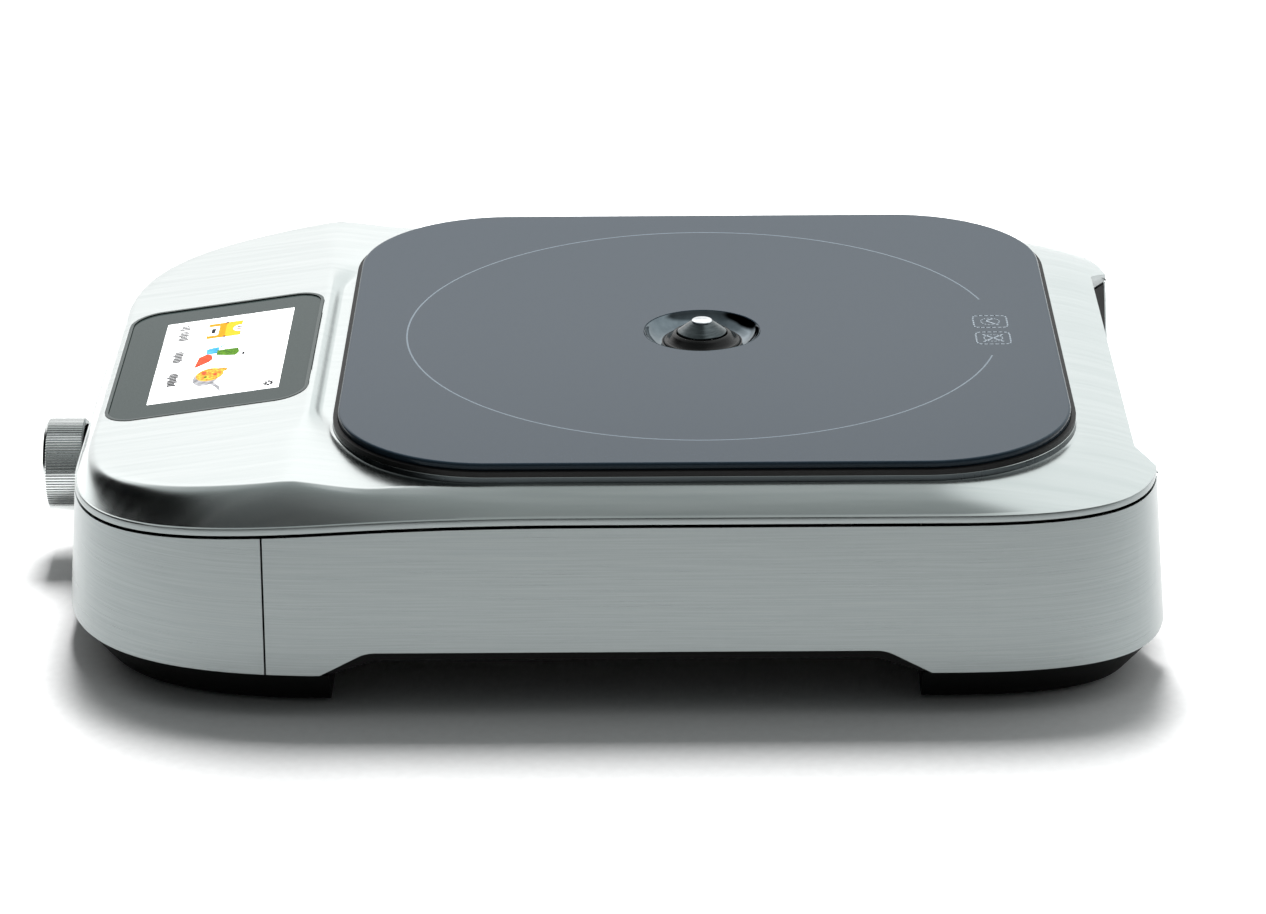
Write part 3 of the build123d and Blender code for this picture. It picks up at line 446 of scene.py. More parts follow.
def piece_from(bm, name, finishes, body, stands_for=(), sharp=SHARP):
    """Turns a bmesh into a finished object that rides on a body."""
    bmesh.ops.recalc_face_normals(bm, faces=bm.faces)
    mesh = bpy.data.meshes.new(name)
    bm.to_mesh(mesh)
    bm.free()
    mesh.shade_smooth()
    mesh.set_sharp_from_angle(angle=sharp)
    for look in finishes:
        mesh.materials.append(materials[look])
    piece = bpy.data.objects.new(name, mesh)
    bpy.context.scene.collection.objects.link(piece)
    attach(piece, body)
    if stands_for:
        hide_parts(*stands_for)
    print(name, len(mesh.polygons), "faces")
    return piece


def ease(low, high, value):
    """Runs smoothly from 0 at low to 1 at high."""
    share = min(max((value - low) / (high - low), 0.0), 1.0)
    return share * share * (3 - 2 * share)


# %% [markdown]
# ## Casing outline
# In plan the casing has flat sides, wide front corners and tighter rear corners. The corners are Bezier
# curves, and the walls lean in by a small draft as they rise, so an outline is asked for by its inset.

# %% Casing outline
BODY_HALF = 170.8
BODY_FRONT = -216.6
BODY_REAR = 236.55
BAND_BOTTOM = 18.0
DRAFT = 0.0775
FRONT_FLAT = 74.0
SIDE_FRONT = -100.6
FRONT_PULL = 0.676
REAR_FLAT = 96.8
SIDE_REAR = 144.3
REAR_PULL = 0.7485
RIM_LEVEL = 80.0
RIM_BEND_START = -10.5
RIM_BEND_RADIUS = 1645.0
RUNS = (10, 36, 46, 32, 14)


def half_outline(inset):
    """Points of the right half of the outline, front to rear, in millimetres."""
    half = BODY_HALF - inset
    front = BODY_FRONT + inset
    rear = BODY_REAR - inset
    corner = [
        (FRONT_FLAT, front),
        (FRONT_FLAT + FRONT_PULL * (half - FRONT_FLAT), front),
        (half, SIDE_FRONT + FRONT_PULL * (front - SIDE_FRONT)),
        (half, SIDE_FRONT),
    ]
    tail = [
        (half, SIDE_REAR),
        (half, SIDE_REAR + REAR_PULL * (rear - SIDE_REAR)),
        (REAR_FLAT + REAR_PULL * (half - REAR_FLAT), rear),
        (REAR_FLAT, rear),
    ]
    points = [Vector((FRONT_FLAT * i / RUNS[0], front)) for i in range(RUNS[0])]
    points += [p.xy for p in interpolate_bezier(*[Vector((*c, 0)) for c in corner], RUNS[1] + 1)[:-1]]
    points += [Vector((half, SIDE_FRONT + (SIDE_REAR - SIDE_FRONT) * i / RUNS[2])) for i in range(RUNS[2])]
    points += [p.xy for p in interpolate_bezier(*[Vector((*c, 0)) for c in tail], RUNS[3] + 1)[:-1]]
    points += [Vector((REAR_FLAT * (1 - i / RUNS[4]), rear)) for i in range(RUNS[4] + 1)]
    return points


def whole_outline(inset):
    """The half outline and its mirror, once round."""
    right_half = half_outline(inset)
    left_half = [Vector((-point.x, point.y)) for point in reversed(right_half[1:-1])]
    return right_half + left_half


def rim_height(y):
    """The line where the cover meets the side bands: level, then bending down to the front."""
    run = min(0.0, y - RIM_BEND_START)
    return RIM_LEVEL - RIM_BEND_RADIUS + sqrt(RIM_BEND_RADIUS**2 - run**2)


print(len(whole_outline(0)), "points round the casing")

# %% [markdown]
# ## Pressed steel cover
# The real cover is drawn from one steel sheet. Round the glass it falls in a gentle convex shoulder to a
# crease, and below the crease a narrow upright strip meets the side bands. In front it rises by a step to
# the sloping control panel. A subdivision cage would round the crease away, so the cover is made of rings:
# each ring lies on spokes that run from the crease to the foot of the glass collar, and its height comes
# from a short formula for the pressed shape.

# %% Cover measures, in millimetres
HOB_CENTRE = Vector((0.0, 47.5))
COLLAR_HALF = 152.4
COLLAR_CORNER = 65.4
COLLAR_FOOT = 0.6
SHOULDER_TOP = 92.9
CREASE_LIFT = 3.9
GAP_LIFT = 0.6
MEAN_INSET = 4.5
CREST_Y = -117.0
CREST_Z = 96.7
TILT = radians(8.1)
VALLEY_Y = -112.5
VALLEY_SWEEP = 9
VALLEY_LIFT = 0.7
STEP_HALF = 3.0
STEP_WIDENING = 17.3
STEP_REACH = 15.0
EDGE_WIDTH = 12.0
FRONT_EDGE_LOSS = 3.6
SIDE_FLATTENING = 0.5
SHOULDER_RINGS = 14
PANEL_RINGS = 18
STEP_RINGS = 24
print("the crest stands", round(CREST_Z - SHOULDER_TOP, 1), "mm over the hob's shoulder")


# %% Cover formulas
def square_reach(spoke, half, corner):
    """How far a rounded square reaches from its centre along a spoke."""
    across, along = abs(spoke.x), abs(spoke.y)
    flat = half - corner
    reach = half / max(across, along)
    if min(across, along) * reach > flat:
        middle = flat * (across + along)
        reach = middle + sqrt(max(0.0, middle**2 - 2 * flat**2 + corner**2))
    return reach


def collar_point(toward, half):
    """Where the spoke from the hob's centre meets the collar's rounded square."""
    spoke = (toward - HOB_CENTRE).normalized()
    return HOB_CENTRE + square_reach(spoke, half, COLLAR_CORNER + half - COLLAR_HALF) * spoke


def roof(x, y):
    """Height of the cover away from its edge: the sloping panel, the step behind it, and the hob's level."""
    panel = CREST_Z - tan(TILT) * max(0.0, CREST_Y - y)
    aside = ease(72, 128, abs(x))
    level = SHOULDER_TOP + VALLEY_LIFT * (1 - aside) * (1 - ease(-105, -80, y))
    middle = VALLEY_Y + VALLEY_SWEEP * aside
    half_step = STEP_HALF + STEP_WIDENING * aside
    return level + (panel - level) * (1 - ease(middle - half_step, middle + half_step, y))


def at_level(lift, extra):
    """An outline on the drafted wall at a height above the rim line, pushed in by extra."""
    outline = []
    insets = [DRAFT * (rim_height(p.y) + lift - BAND_BOTTOM) + extra for p in whole_outline(MEAN_INSET)]
    shapes = {round(inset, 2): whole_outline(round(inset, 2)) for inset in insets}
    for i, inset in enumerate(insets):
        point = shapes[round(inset, 2)][i]
        outline.append(Vector((point.x, point.y, rim_height(point.y) + lift)))
    return outline


def pressed_point(start, step):
    """The point of one ring on the spoke from a point of the crease to the foot of the collar."""
    foot = collar_point(start.xy, COLLAR_HALF + COLLAR_FOOT)
    length = (foot - start.xy).length
    beside_hob = ease(-95, -25, start.y)
    edge = EDGE_WIDTH - FRONT_EDGE_LOSS * ease(-150, -205, start.y)
    shoulder = edge + (length - edge) * beside_hob
    first = min(edge, 0.5 * length)
    last = max(length - STEP_REACH, first + 0.25 * (length - first))
    if step <= SHOULDER_RINGS:
        along = first * step / SHOULDER_RINGS
    elif step <= SHOULDER_RINGS + PANEL_RINGS:
        along = first + (last - first) * (step - SHOULDER_RINGS) / PANEL_RINGS
    else:
        along = last + (length - last) * (step - SHOULDER_RINGS - PANEL_RINGS) / STEP_RINGS
    place = start.xy.lerp(foot, along / length)
    share = min(along / shoulder, 1.0)
    swell = 1.0 - SIDE_FLATTENING * beside_hob
    rise = share * (1 + swell * (1 - share))
    return Vector((place.x, place.y, start.z + (roof(*place) - start.z) * rise))


print("valley in the middle at", round(roof(0, -105), 1), "mm")

# %% Rings of the cover, from its lower edge up to the collar
crease = at_level(CREASE_LIFT, 0.75)
stack = [
    at_level(GAP_LIFT, 0.3),
    at_level(GAP_LIFT + 0.15, 0.08),
    at_level(GAP_LIFT + 0.4, 0.0),
    at_level(CREASE_LIFT - 0.7, 0.0),
    at_level(CREASE_LIFT - 0.35, 0.1),
    at_level(CREASE_LIFT - 0.15, 0.35),
    crease,
]
for step in range(1, SHOULDER_RINGS + PANEL_RINGS + STEP_RINGS + 1):
    stack.append([pressed_point(start, step) for start in crease])
foot_ring = stack[-1]
for half, lift in ((152.3, 0.2), (152.15, 0.6)):
    stack.append([Vector((*collar_point(p.xy, half), p.z + lift)) for p in foot_ring])
for half, level in ((152.1, 95.45), (152.0, 95.58), (146.0, 95.6), (143.2, 95.55)):
    stack.append([Vector((*collar_point(p.xy, half), level)) for p in foot_ring])
print(len(stack), "rings of", len(foot_ring))

# %% [markdown]
# ## Openings
# The bay in the rear and the window for the screen are cut with bisect_plane: each side of the opening is
# a plane, the sheet is split along it, and then the faces inside all the planes are taken out. It leaves
# straight clean edges, which a boolean on an open sheet would not.


# %% Cutting helpers
WELD = 1e-4


def cut_out(bm, outline, normal, margin=4.0):
    """Cuts a convex opening, given as points in order, straight through a sheet along normal."""
    centre = sum(outline, Vector()) / len(outline)
    reach = max((point - centre).length for point in outline) + margin
    walls = []
    for i, point in enumerate(outline):
        side = (point - outline[i - 1]).cross(normal).normalized()
        walls.append((point, side if side.dot(point - centre) > 0 else -side))
    for point, side in walls:
        near = [face for face in bm.faces if (face.calc_center_median() - centre).length < reach]
        edges = list({edge for face in near for edge in face.edges})
        verts = list({vert for face in near for vert in face.verts})
        bmesh.ops.bisect_plane(bm, geom=near + edges + verts, dist=WELD, plane_co=point, plane_no=side)
    inside = [
        face
        for face in bm.faces
        if all((face.calc_center_median() - point).dot(side) < 0 for point, side in walls)
    ]
    bmesh.ops.delete(bm, geom=inside, context="FACES")
    return walls


def rounded(corners, radius, steps=6):
    """A polygon's corners rounded off, as points in order."""
    points = []
    for i, corner in enumerate(corners):
        before = corners[i - 1] - corner
        after = corners[(i + 1) % len(corners)] - corner
        size = radius[i] if isinstance(radius, (list, tuple)) else radius
        if not size:
            points.append(corner)
            continue
        trim = size / tan(before.angle(after) / 2)
        start = corner + before.normalized() * trim
        end = corner + after.normalized() * trim
        points += interpolate_bezier(start, start.lerp(corner, 0.55), end.lerp(corner, 0.55), end, steps)
    return points


# %% Cover mesh and its rear bay
BAY_PLAN = ((-117.5, 262.0), (-117.5, 232.55), (-101.6, 222.7), (101.6, 222.7), (117.5, 232.55), (117.5, 262.0))
BAY_ROUNDS = [0, 3, 6, 6, 3, 0]
BAY_LEVEL = 90.0
BAY_FRONT = 215
ON_CUT = 2e-3

bm = rings(stack)
bay = rounded([Vector((x, y, BAY_LEVEL)) for x, y in BAY_PLAN], BAY_ROUNDS)
walls = cut_out(bm, bay, Vector((0, 0, 1)))


def beside_bay(vert):
    """Whether a point of the cover lies on one of the bay's cuts."""
    return vert.co.y > BAY_FRONT and any(abs((vert.co - point).dot(side)) < ON_CUT for point, side in walls)


bay_edge = [edge for edge in bm.edges if edge.is_boundary and all(beside_bay(vert) for vert in edge.verts)]
for vert in verts_in(bmesh.ops.extrude_edge_only(bm, edges=bay_edge)["geom"]):
    vert.co.z = RIM_LEVEL + GAP_LIFT
print(len(bay_edge), "edges of the bay folded down")

# %% The panel's own directions
SCREEN_Y = -160.0
SCREEN_CENTRE = Vector((0, SCREEN_Y, CREST_Z - tan(TILT) * (CREST_Y - SCREEN_Y)))
panel_up = Vector((0, -sin(TILT), cos(TILT)))
panel_back = Vector((0, cos(TILT), sin(TILT)))


def on_panel(x, y, lift=0.0):
    """A point on the control panel: x across, y up the slope from the screen's centre."""
    return SCREEN_CENTRE + Vector((x, 0, 0)) + y * panel_back + lift * panel_up


def panel_box(width, depth, radius, lift=0.0, steps=6):
    """A rounded rectangle round the screen's centre."""
    corners = [on_panel(x * width / 2, y * depth / 2, lift) for x, y in ((-1, -1), (1, -1), (1, 1), (-1, 1))]
    return rounded(corners, radius, steps)


print("screen centre", [round(value, 1) for value in SCREEN_CENTRE])

# %% [markdown]
# The sheet is one thin surface until here. Its faces now get a look by where they are, the flat panel is
# shaded flat so that the cut's thin rim can't tilt its reflections, and Solidify gives the steel its
# thickness inwards, which leaves the outside where it is.

# %% Screen opening, looks and thickness
# The second look is the side steel painted darker, a painted shade.
COVER_LOOKS = ["brushed_steel_cover", "shade_darkened_steel_sides", "shaded_steel_collar"]
SIDES_LOOK, COLLAR_LOOK = 1, 2
BAY_WALL_Y = 0.222
COLLAR_Z = 93.2 * MM
PANEL_HALF = 95
SHEET = 0.9 * MM

cut_out(bm, panel_box(129.6, 86.6, 13.8), panel_up)
bmesh.ops.remove_doubles(bm, verts=bm.verts, dist=WELD)
bmesh.ops.dissolve_degenerate(bm, edges=bm.edges, dist=WELD)
to_metres(bm)
bm.normal_update()
for face in bm.faces:
    middle = face.calc_center_median()
    under_crease = middle.z < (rim_height(middle.y / MM) + CREASE_LIFT - 0.2) * MM
    from_hob = max(abs(middle.x), abs(middle.y - HOB_Y)) / MM
    upright = abs(face.normal.z) < 0.5
    # Upright faces under the crease and in the bay take the side steel that is painted darker as painted shade.
    if upright and (under_crease or middle.y > BAY_WALL_Y):
        face.material_index = SIDES_LOOK
    elif upright and middle.z > COLLAR_Z and from_hob < COLLAR_HALF + 0.4:
        face.material_index = COLLAR_LOOK
cover = piece_from(bm, "pressed_cover", COVER_LOOKS, "cooker", ["top_cover"])
if sum(face.normal.z * face.area for face in cover.data.polygons) < 0:
    cover.data.flip_normals()
for face in cover.data.polygons:
    middle = face.center / MM
    off_plane = abs((middle - SCREEN_CENTRE).dot(panel_up))
    if abs(middle.x) < PANEL_HALF and middle.y < CREST_Y and off_plane < 0.01:
        face.use_smooth = False
wall = cover.modifiers.new("sheet", "SOLIDIFY")
wall.thickness = SHEET
wall.offset = -1.0

# %% [markdown]
# ## Hob glass
# Glass ceramic is cut from a 4 mm sheet and its edge is ground to a soft pencil round, which catches a
# thin line of light. A Bevel modifier could round the edge, but rings let the round be uneven, as ground
# edges are. They run from the round hole in the middle out over the top and down the ground edge.

# %% Glass plate
GLASS_TOP = 100.6
GLASS_FOOT = 96.7
HOLE = 24.75
GLASS_POINTS = 256


def rounded_square(half, corner, height):
    """A rounded square round the hob's centre, with its points spread evenly by angle."""
    outline = []
    for i in range(GLASS_POINTS):
        turn = 2 * pi * i / GLASS_POINTS
        spoke = Vector((cos(turn), sin(turn)))
        outline.append(Vector((*(HOB_CENTRE + square_reach(spoke, half, corner) * spoke), height)) * MM)
    return outline


bm = rings([
    rounded_square(HOLE, HOLE, GLASS_FOOT),
    rounded_square(HOLE, HOLE, 100.3),
    rounded_square(25.05, 25.05, GLASS_TOP),
    rounded_square(25.3, 25.3, GLASS_TOP),
    rounded_square(80.0, 60.0, GLASS_TOP),
    rounded_square(148.8, 61.8, GLASS_TOP),
    rounded_square(149.1, 62.1, GLASS_TOP),
    rounded_square(149.5, 62.5, GLASS_TOP - 0.12),
    rounded_square(149.85, 62.85, GLASS_TOP - 0.45),
    rounded_square(150.0, 63.0, GLASS_TOP - 1.0),
    rounded_square(150.0, 63.0, 97.3),
    rounded_square(149.4, 62.4, GLASS_FOOT),
    rounded_square(HOLE, HOLE, GLASS_FOOT),
])
bmesh.ops.remove_doubles(bm, verts=bm.verts, dist=1e-6)
piece_from(bm, "hob_glass", ["printed_glass_ceramic"], "cooker", ["glass_plate"])

# %% [markdown]
# ## Turned parts of the sensor
# The well, the rubber boot, the cone and its cap are all turned shapes, so each is a profile spun once
# round the hob's axis. Spinning needs only half a section, and use_merge closes the seam. A profile is a
# list of radius and height, in millimetres, and its curved corners are arcs. The boot is soft and is held
# at its foot.

# %% Spun pieces
SPIN_STEPS = 96


def spun(profile, name, looks, body, stands_for, closed=True):
    """Spins (radius, height) points round the hob's axis, in millimetres."""
    bm = bmesh.new()
    verts = [bm.verts.new((radius * MM, HOB_Y, height * MM)) for radius, height in profile]
    edges = [bm.edges.new(pair) for pair in zip(verts, verts[1:])]
    if closed:
        edges.append(bm.edges.new((verts[-1], verts[0])))
    turned = {"cent": (0, HOB_Y, 0), "axis": (0, 0, 1), "angle": 2 * pi, "steps": SPIN_STEPS, "use_merge": True}
    bmesh.ops.spin(bm, geom=verts + edges, **turned)
    bmesh.ops.remove_doubles(bm, verts=bm.verts, dist=1e-6)
    return piece_from(bm, name, looks, body, stands_for, sharp=radians(40))


def arc(centre, radius, start, end, steps=8):
    """Points of an arc in the half section, from one angle in degrees to another."""
    turns = [radians(start + (end - start) * i / steps) for i in range(steps + 1)]
    return [(centre[0] + radius * cos(turn), centre[1] + radius * sin(turn)) for turn in turns]

well = [(12.4, 84.0), (12.4, 94.9), (16.9, 94.9)] + arc((16.4, 103.4), 8.5, -83, -28, 10)
well += [(24.25, 100.2), (24.45, 100.5), (24.6, 100.4), (24.6, 96.5), (28, 96.5), (28, 95)]
well += [(21, 95), (19.5, 93.4), (14, 93.4), (14, 84)]
# The dish takes the cap's steel painted darker: painted shade.
spun(well, "sensor_well_dish", ["shade_darkened_well"], "cooker", ["sensor_well"])

# %% Rubber boot
boot = [(17.2, 95.0), (17.2, 95.9)] + arc((15.6, 95.6), 1.2, 15, 100, 6)
boot += [(13.9, 97.6), (12.8, 99.1), (12.0, 99.7), (11.2, 99.9)]
boot += [(10.8, 99.6), (10.9, 99.0), (11.8, 98.4), (12.6, 97.0), (13.6, 95.0)]
rubber_boot = spun(
    boot, "sensor_rubber_boot", ["glossy_silicone_boot"], "cooker", ["sensor_boot"]
)
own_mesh(rubber_boot)

# %% Cone and cap
cone = [(4.0, 99.6), (10.0, 99.6)] + arc((10.05, 100.3), 0.45, -60, 60, 5)
cone += [(9.6, 101.0), (5.0, 104.45), (4.75, 104.6), (4.0, 104.6)]
spun(cone, "sensor_cone_skirt", ["dark_plated_cone"], "sensor", ["sensor_cone"])
cap = [(0.0, 104.6), (4.3, 104.6), (4.4, 104.75)] + arc((4.0, 105.0), 0.4, 0, 90, 5) + [(0.0, 105.4)]
spun(cap, "sensor_cap_disc", ["polished_steel_cap"], "sensor", ["sensor_cap"], closed=False)

# %% [markdown]
# ## Dial
# The dial is turned from aluminium bar and its rim is knurled with fine straight grooves, so a finger grips
# it. A bump could fake them, but they show on the dial's outline, so they are real geometry: round each
# ring of the rim every fourth point is pushed in.

# %% Knurled dial
DIAL_Z = 40.6
GROOVES = 100
POINTS_PER_GROOVE = 4
KNURL = 0.5


def dial_ring_at(radius, y, depth=0.0):
    """A ring of the dial at a place along its axis, grooved to a depth."""
    outline = []
    for i in range(GROOVES * POINTS_PER_GROOVE):
        turn = 2 * pi * i / (GROOVES * POINTS_PER_GROOVE)
        reach = radius - (depth if i % POINTS_PER_GROOVE == 0 else 0.0)
        outline.append(Vector((reach * cos(turn), y, DIAL_Z + reach * sin(turn))) * MM)
    return outline


stack = [
    dial_ring_at(3.05, -231.4),
    dial_ring_at(3.05, -219.5),
    dial_ring_at(6.0, -219.5),
    dial_ring_at(6.0, -231.0),
    dial_ring_at(17.5, -231.0),
    dial_ring_at(17.5, -218.0),
    dial_ring_at(19.3, -218.0),
    dial_ring_at(19.6, -218.3),
    dial_ring_at(19.95, -218.7, KNURL),
    dial_ring_at(19.95, -233.6, KNURL),
    dial_ring_at(19.6, -233.9),
    dial_ring_at(19.4, -234.3),
    dial_ring_at(18.8, -235.0),
    dial_ring_at(18.3, -235.2),
    dial_ring_at(9.0, -235.15),
]
bm = rings(stack, last_face=True, first_face=True)
piece_from(
    bm, "knurled_dial", ["turned_aluminium"], "dial", ["dial_knob"], sharp=radians(25)
)

# %% [markdown]
# ## Touch screen
# The screen is a cover glass printed grey on its underside, with a clear window that is left open here,
# and a lit panel just under it. The picture on the panel is made of thin coloured sheets: a recipe card,
# some ingredients, a pan and a small gear, with plain bars where captions would be. Ink on a lit panel
# shows its own colour, so each one glows a little.

# %% Screen finishes
def lit(name, colours, grain, strength):
    """Ink on a lit panel: it glows in its own colour, with a soft grain."""
    material = finish(name, colours, grain, rough=(0.5, 0.6), bump=0.0, **{GLOSS: 0.1})
    tree = material.node_tree
    shader = next(part for part in tree.nodes if part.type == "BSDF_PRINCIPLED")
    tone = next(part for part in tree.nodes if part.type == "VALTORGB")
    tree.links.new(tone.outputs["Color"], shader.inputs["Emission Color"])
    shader.inputs["Emission Strength"].default_value = strength


INK_GLOW = 0.1
lit("lit_white_panel", ("F1F2F2", "F7F7F7"), 1.0, 0.9)
lit("caption_ink", ("101014", "1E1E24"), 0.8, INK_GLOW)
lit("card_orange", ("E8820C", "EE8E16"), 1.5, INK_GLOW)
lit("card_yellow", ("F0A41E", "F4AE2C"), 1.5, INK_GLOW)
lit("leaf_green", ("1E4A08", "5E8C1E"), 1.2, INK_GLOW)
lit("bowl_blue", ("1C7CA8", "5AAECB"), 3.0, INK_GLOW)
lit("fruit_red", ("DE2E14", "EE5A3C"), 2.0, INK_GLOW)
lit("pan_grey", ("6E6E72", "B4B4B8"), 3.0, INK_GLOW)
lit("food_mix", ("C0401C", "F0C848"), 1.1, INK_GLOW)
finish("grey_printed_glass", ("2C3534", "343D3C"), 0.6, rough=(0.06, 0.09), bump=0.0, **{GLOSS: 0.08})
print("screen finishes ready")

# %% Cover glass of the screen
WINDOW_X = 48.1
WINDOW_LOW = -26.0
WINDOW_HIGH = 30.2
LENS_TOP = -0.35
LENS_DEPTH = 1.6


def thicken(bm, faces, depth):
    """Extrudes faces down along the panel's normal, and gives back what was made."""
    made = bmesh.ops.extrude_face_region(bm, geom=faces)["geom"]
    bmesh.ops.translate(bm, vec=-depth * panel_up, verts=verts_in(made))
    return made


window = [
    on_panel(x, y, LENS_TOP)
    for x, y in (
        (-WINDOW_X, WINDOW_LOW),
        (WINDOW_X, WINDOW_LOW),
        (WINDOW_X, WINDOW_HIGH),
        (-WINDOW_X, WINDOW_HIGH),
    )
]
lens = bmesh.new()
lens.faces.new([lens.verts.new(point) for point in panel_box(126.0, 83.0, 12.0, LENS_TOP, 10)])
cut_out(lens, window, panel_up, margin=60.0)
thicken(lens, list(lens.faces), LENS_DEPTH)
to_metres(lens)
piece_from(
    lens, "cover_lens", ["grey_printed_glass"], "cooker", ["screen_lens"], sharp=radians(20)
)

# %% Lit panel
PANEL_SINK = 0.12
PANEL_DEPTH = 0.5
PANEL_PLAY = 0.1
lit_box = panel_box(
    2 * WINDOW_X - PANEL_PLAY, WINDOW_HIGH - WINDOW_LOW - PANEL_PLAY, PANEL_PLAY, LENS_TOP - PANEL_SINK, 2
)
panel = bmesh.new()
thicken(panel, [panel.faces.new([panel.verts.new(point) for point in lit_box])], PANEL_DEPTH)
bmesh.ops.translate(panel, vec=(WINDOW_HIGH + WINDOW_LOW) / 2 * panel_back, verts=panel.verts)
to_metres(panel)
piece_from(panel, "lit_panel", ["lit_white_panel"], "cooker")

# %% [markdown]
# The picture is drawn with small flat shapes. Each is a bmesh circle or a few corners laid on the panel's
# plane, and all the shapes of one subject are joined in one piece with a finish for each ink. Each shape
# lies a little higher than the one before, so that no two share a plane and flicker.

# %% Picture helpers
INK_LIFT = LENS_TOP - 0.10
INK_STEP = 0.006
INK_DEPTH = 0.03


def shapes_piece(name, shapes):
    """One thin piece from (ink, points) shapes, with points across and up the panel in millimetres."""
    bm = bmesh.new()
    inks = []
    for layer, (ink, points) in enumerate(shapes):
        if ink not in inks:
            inks.append(ink)
        lift = INK_LIFT + INK_STEP * layer
        face = bm.faces.new([bm.verts.new(on_panel(x, y, lift)) for x, y in points])
        face.material_index = inks.index(ink)
        for part in thicken(bm, [face], INK_DEPTH):
            if isinstance(part, bmesh.types.BMFace):
                part.material_index = inks.index(ink)
    to_metres(bm)
    return piece_from(bm, name, inks, "cooker")


def bar(x, y, width, depth):
    """The corners of a rectangle round a centre."""
    left, right = x - width / 2, x + width / 2
    low, high = y - depth / 2, y + depth / 2
    return [(left, low), (right, low), (right, high), (left, high)]


def disc(x, y, width, depth, count=24):
    """Points round an ellipse."""
    turns = [2 * pi * i / count for i in range(count)]
    return [(x + width / 2 * cos(turn), y + depth / 2 * sin(turn)) for turn in turns]


# %% Pictures
card = [
    ("card_orange", bar(-32, -3, 18, 8)),
    ("card_yellow", bar(-32, 4.5, 18, 7)),
    ("lit_white_panel", bar(-32, -4.4, 11, 4.6)),
    ("caption_ink", bar(-32, -4.4, 5.5, 1.8)),
    ("pan_grey", disc(-32, 7.4, 8.4, 6.6)),
    ("lit_white_panel", disc(-32, 7.4, 7.6, 6)),
    ("caption_ink", bar(-33.4, 7.4, 1.4, 3)),
    ("fruit_red", bar(-31, 7.4, 1.4, 3)),
    ("caption_ink", bar(-40.4, 1, 1.6, 1.2)),
    ("caption_ink", bar(-23.6, 1, 1.6, 1.2)),
]
shapes_piece("picture_recipe_card", card)
ingredients = [
    ("pan_grey", [(-1, -1), (4, -2), (5, 10), (1, 11)]),
    ("lit_white_panel", [(-0.6, -0.6), (3.6, -1.6), (4.6, 9.6), (1.2, 10.6)]),
    ("bowl_blue", [(-9.5, -5.4), (-3.2, -5), (-3.4, 0.2), (-10.8, 0.1), (-11.2, -2)]),
    ("bowl_blue", [(-10.4, 0), (-14, 2), (-14, 2.6), (-9.6, 0.8)]),
    ("leaf_green", [(-7, -0.5), (-1.5, -0.5), (0.6, 4), (1.8, 8), (-2, 9.4), (-7, 8.6), (-7.4, 4)]),
    ("fruit_red", [(11.5, -9.2), (-1, -8), (-3.6, -5), (-2.4, -2.6), (3, -1.8), (6, -3)]),
    ("caption_ink", bar(0.6, 11.4, 3, 1.1)),
]
shapes_piece("picture_ingredients", ingredients)
pan = [
    ("pan_grey", disc(25, -3, 19, 11)),
    ("food_mix", disc(21.5, -1.4, 15, 12)),
    ("fruit_red", disc(19, -4, 4, 2)),
    ("leaf_green", disc(16.8, 3, 3, 2.4)),
    ("fruit_red", disc(22, 1, 3, 1.6)),
    ("leaf_green", disc(24, -3, 2.4, 1.4)),
    ("food_mix", disc(17.5, 3.4, 5, 5)),
    ("pan_grey", [(31, -1.6), (38, 2.6), (43, 4.4), (43, 5.2), (37, 4), (30, 0.4)]),
]
shapes_piece("picture_pan", pan)
# %% Gear and captions
GEAR_X, GEAR_Y = 41.4, 25.5
TEETH = 8
gear = [("caption_ink", disc(GEAR_X, GEAR_Y, 4.4, 3.4, count=12))]
gear += [("lit_white_panel", disc(GEAR_X, GEAR_Y, 1.8, 1.6, count=12))]
for tooth in range(TEETH):
    turn = 2 * pi * tooth / TEETH
    gear.append(("caption_ink", bar(GEAR_X + 2.5 * cos(turn), GEAR_Y + 2.1 * sin(turn), 1.1, 0.9)))
shapes_piece("picture_gear", gear)

CAPTION_Y = -17.6
BAR_PITCH = 1.9
WORD_GAP = 1.5
captions = []
for x, lengths in ((-43, (7, 13)), (-11, (15,)), (15, (17,))):
    for length in lengths:
        for i in range(int(length / BAR_PITCH)):
            captions.append(("caption_ink", bar(x + 0.6, CAPTION_Y + 0.3 * (i % 2), 1.35, 3.2 + 0.8 * (i % 3))))
            x += BAR_PITCH
        x += WORD_GAP
shapes_piece("picture_captions", captions)

# %% [markdown]
# ## Printed pictograms on the glass
# Behind the ring stand two small pictograms in light enamel. They are generic: a pan with a tick, and a
# pan with a cross. A decal would need a texture, so each line is a thin strip of its own. Fired enamel
# stands about 0.02 mm proud of the glass.

# %% Enamel pictograms
finish("fired_light_enamel", ("77828B", "838E97"), 0.5, rough=(0.3, 0.4), bump=0.05)
ENAMEL = 0.02
MARK_Y = 123.5
FRAME_SIZE = 15
FRAME_HALF = 7.2
PAN_SIZE = 8
FRAME_LINE, PAN_LINE, MARK_LINE = 0.6, 0.45, 0.7
TICK = [[(-3, 1), (-1, -2), (4, 3)]]
CROSS = [[(-4, -4), (4, 4)], [(-4, 4), (4, -4)]]


def stroke(bm, points, width, closed=False):
    """A flat line of enamel through points on the glass, relative to the hob's centre."""
    for start, end in zip(points, points[1:] + (points[:1] if closed else [])):
        start, end = Vector(start), Vector(end)
        run = (end - start).normalized() * width / 2
        side = Vector((-run.y, run.x))
        corners = [start - run - side, end + run - side, end + run + side, start - run + side]
        verts = [bm.verts.new((p.x, p.y + HOB_CENTRE.y, GLASS_TOP)) for p in corners]
        line = bmesh.ops.extrude_face_region(bm, geom=[bm.faces.new(verts)])["geom"]
        bmesh.ops.translate(bm, vec=(0, 0, ENAMEL), verts=verts_in(line))


def squared(value):
    """Pushes a circle's points out to a square with cut corners."""
    return max(-FRAME_HALF, min(FRAME_HALF, 1.25 * value))


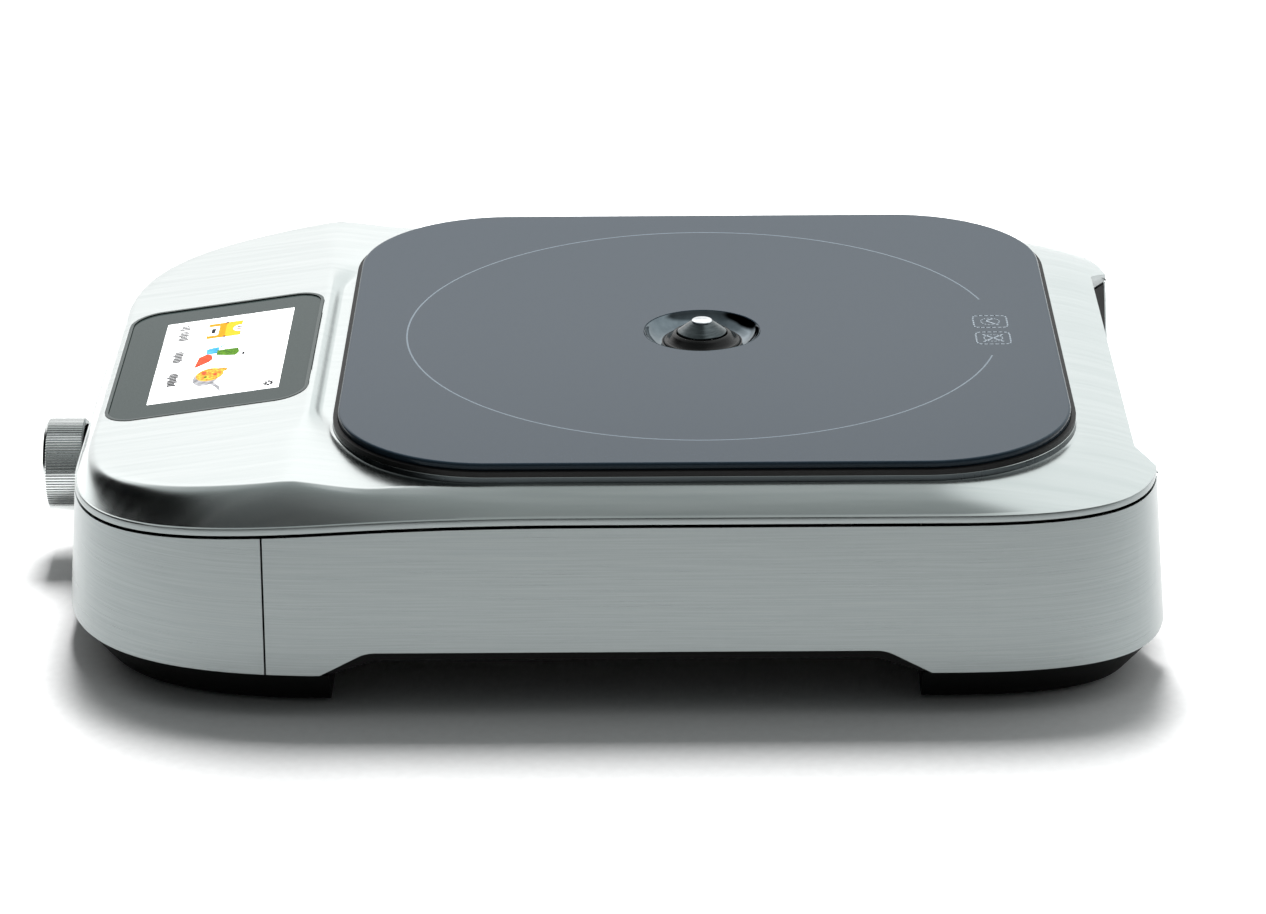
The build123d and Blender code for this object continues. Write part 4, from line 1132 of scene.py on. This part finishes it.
bm = bmesh.new()
for middle, marks in ((-8.5, TICK), (11.5, CROSS)):
    frame_line = [(middle + squared(x), MARK_Y + squared(y)) for x, y in disc(0, 0, FRAME_SIZE, FRAME_SIZE)]
    stroke(bm, frame_line, FRAME_LINE, closed=True)
    stroke(bm, disc(middle, MARK_Y, PAN_SIZE, PAN_SIZE, count=16), PAN_LINE, closed=True)
    for mark in marks:
        stroke(bm, [(middle + x, MARK_Y + y) for x, y in mark], MARK_LINE)
to_metres(bm)
piece_from(bm, "glass_pictograms", ["fired_light_enamel"], "cooker")

# %% [markdown]
# ## Sensor spring
# The spring under the sensor shortens as the sensor goes down. A solid that follows no joint would stand
# through the sensor's collar, so the coil is made again as a swept wire.

# %% Spring
TURNS = 6
STEPS_PER_TURN = 32
WIRE_RADIUS = 0.6 * MM
COIL_RADIUS = 5.8 * MM
low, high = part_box("sensor_spring")
line = bpy.data.curves.new("sensor_coil_spring", "CURVE")
line.dimensions = "3D"
line.bevel_depth = WIRE_RADIUS
line.bevel_resolution = 3
path = line.splines.new("POLY")
steps = TURNS * STEPS_PER_TURN
path.points.add(steps)
for i in range(steps + 1):
    turn = 2 * pi * TURNS * i / steps
    height = low.z + WIRE_RADIUS + (high.z - low.z - 2 * WIRE_RADIUS) * i / steps
    path.points[i].co = (COIL_RADIUS * cos(turn), HOB_Y + COIL_RADIUS * sin(turn), height, 1)
loose = bpy.data.objects.new("loose_spring", line)
bpy.context.scene.collection.objects.link(loose)
bpy.context.view_layer.update()
spring_bm = bmesh.new()
spring_bm.from_mesh(bpy.data.meshes.new_from_object(loose))
bpy.data.objects.remove(loose)
spring = piece_from(
    spring_bm, "sensor_coil_spring", ["drawn_spring_wire"], "cooker", ["sensor_spring"]
)
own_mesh(spring)

# %% [markdown]
# ## Floor
# A sweep of white paper, which isn't part of the object. It is large, so that it fills every view.

# %% Floor
FLOOR_HALF = 6.0
paper = finish("white_paper", ("F2F2F2", "F7F7F7"), 4.0, rough=(0.7, 0.8), bump=0.02)
floor_bm = bmesh.new()
bmesh.ops.create_grid(floor_bm, x_segments=1, y_segments=1, size=FLOOR_HALF)
floor_mesh = bpy.data.meshes.new("paper_sweep")
floor_bm.to_mesh(floor_mesh)
floor_bm.free()
floor_mesh.materials.append(paper)
floor = bpy.data.objects.new("paper_sweep", floor_mesh)
bpy.context.scene.collection.objects.link(floor)
print("floor", 2 * FLOOR_HALF, "m across")
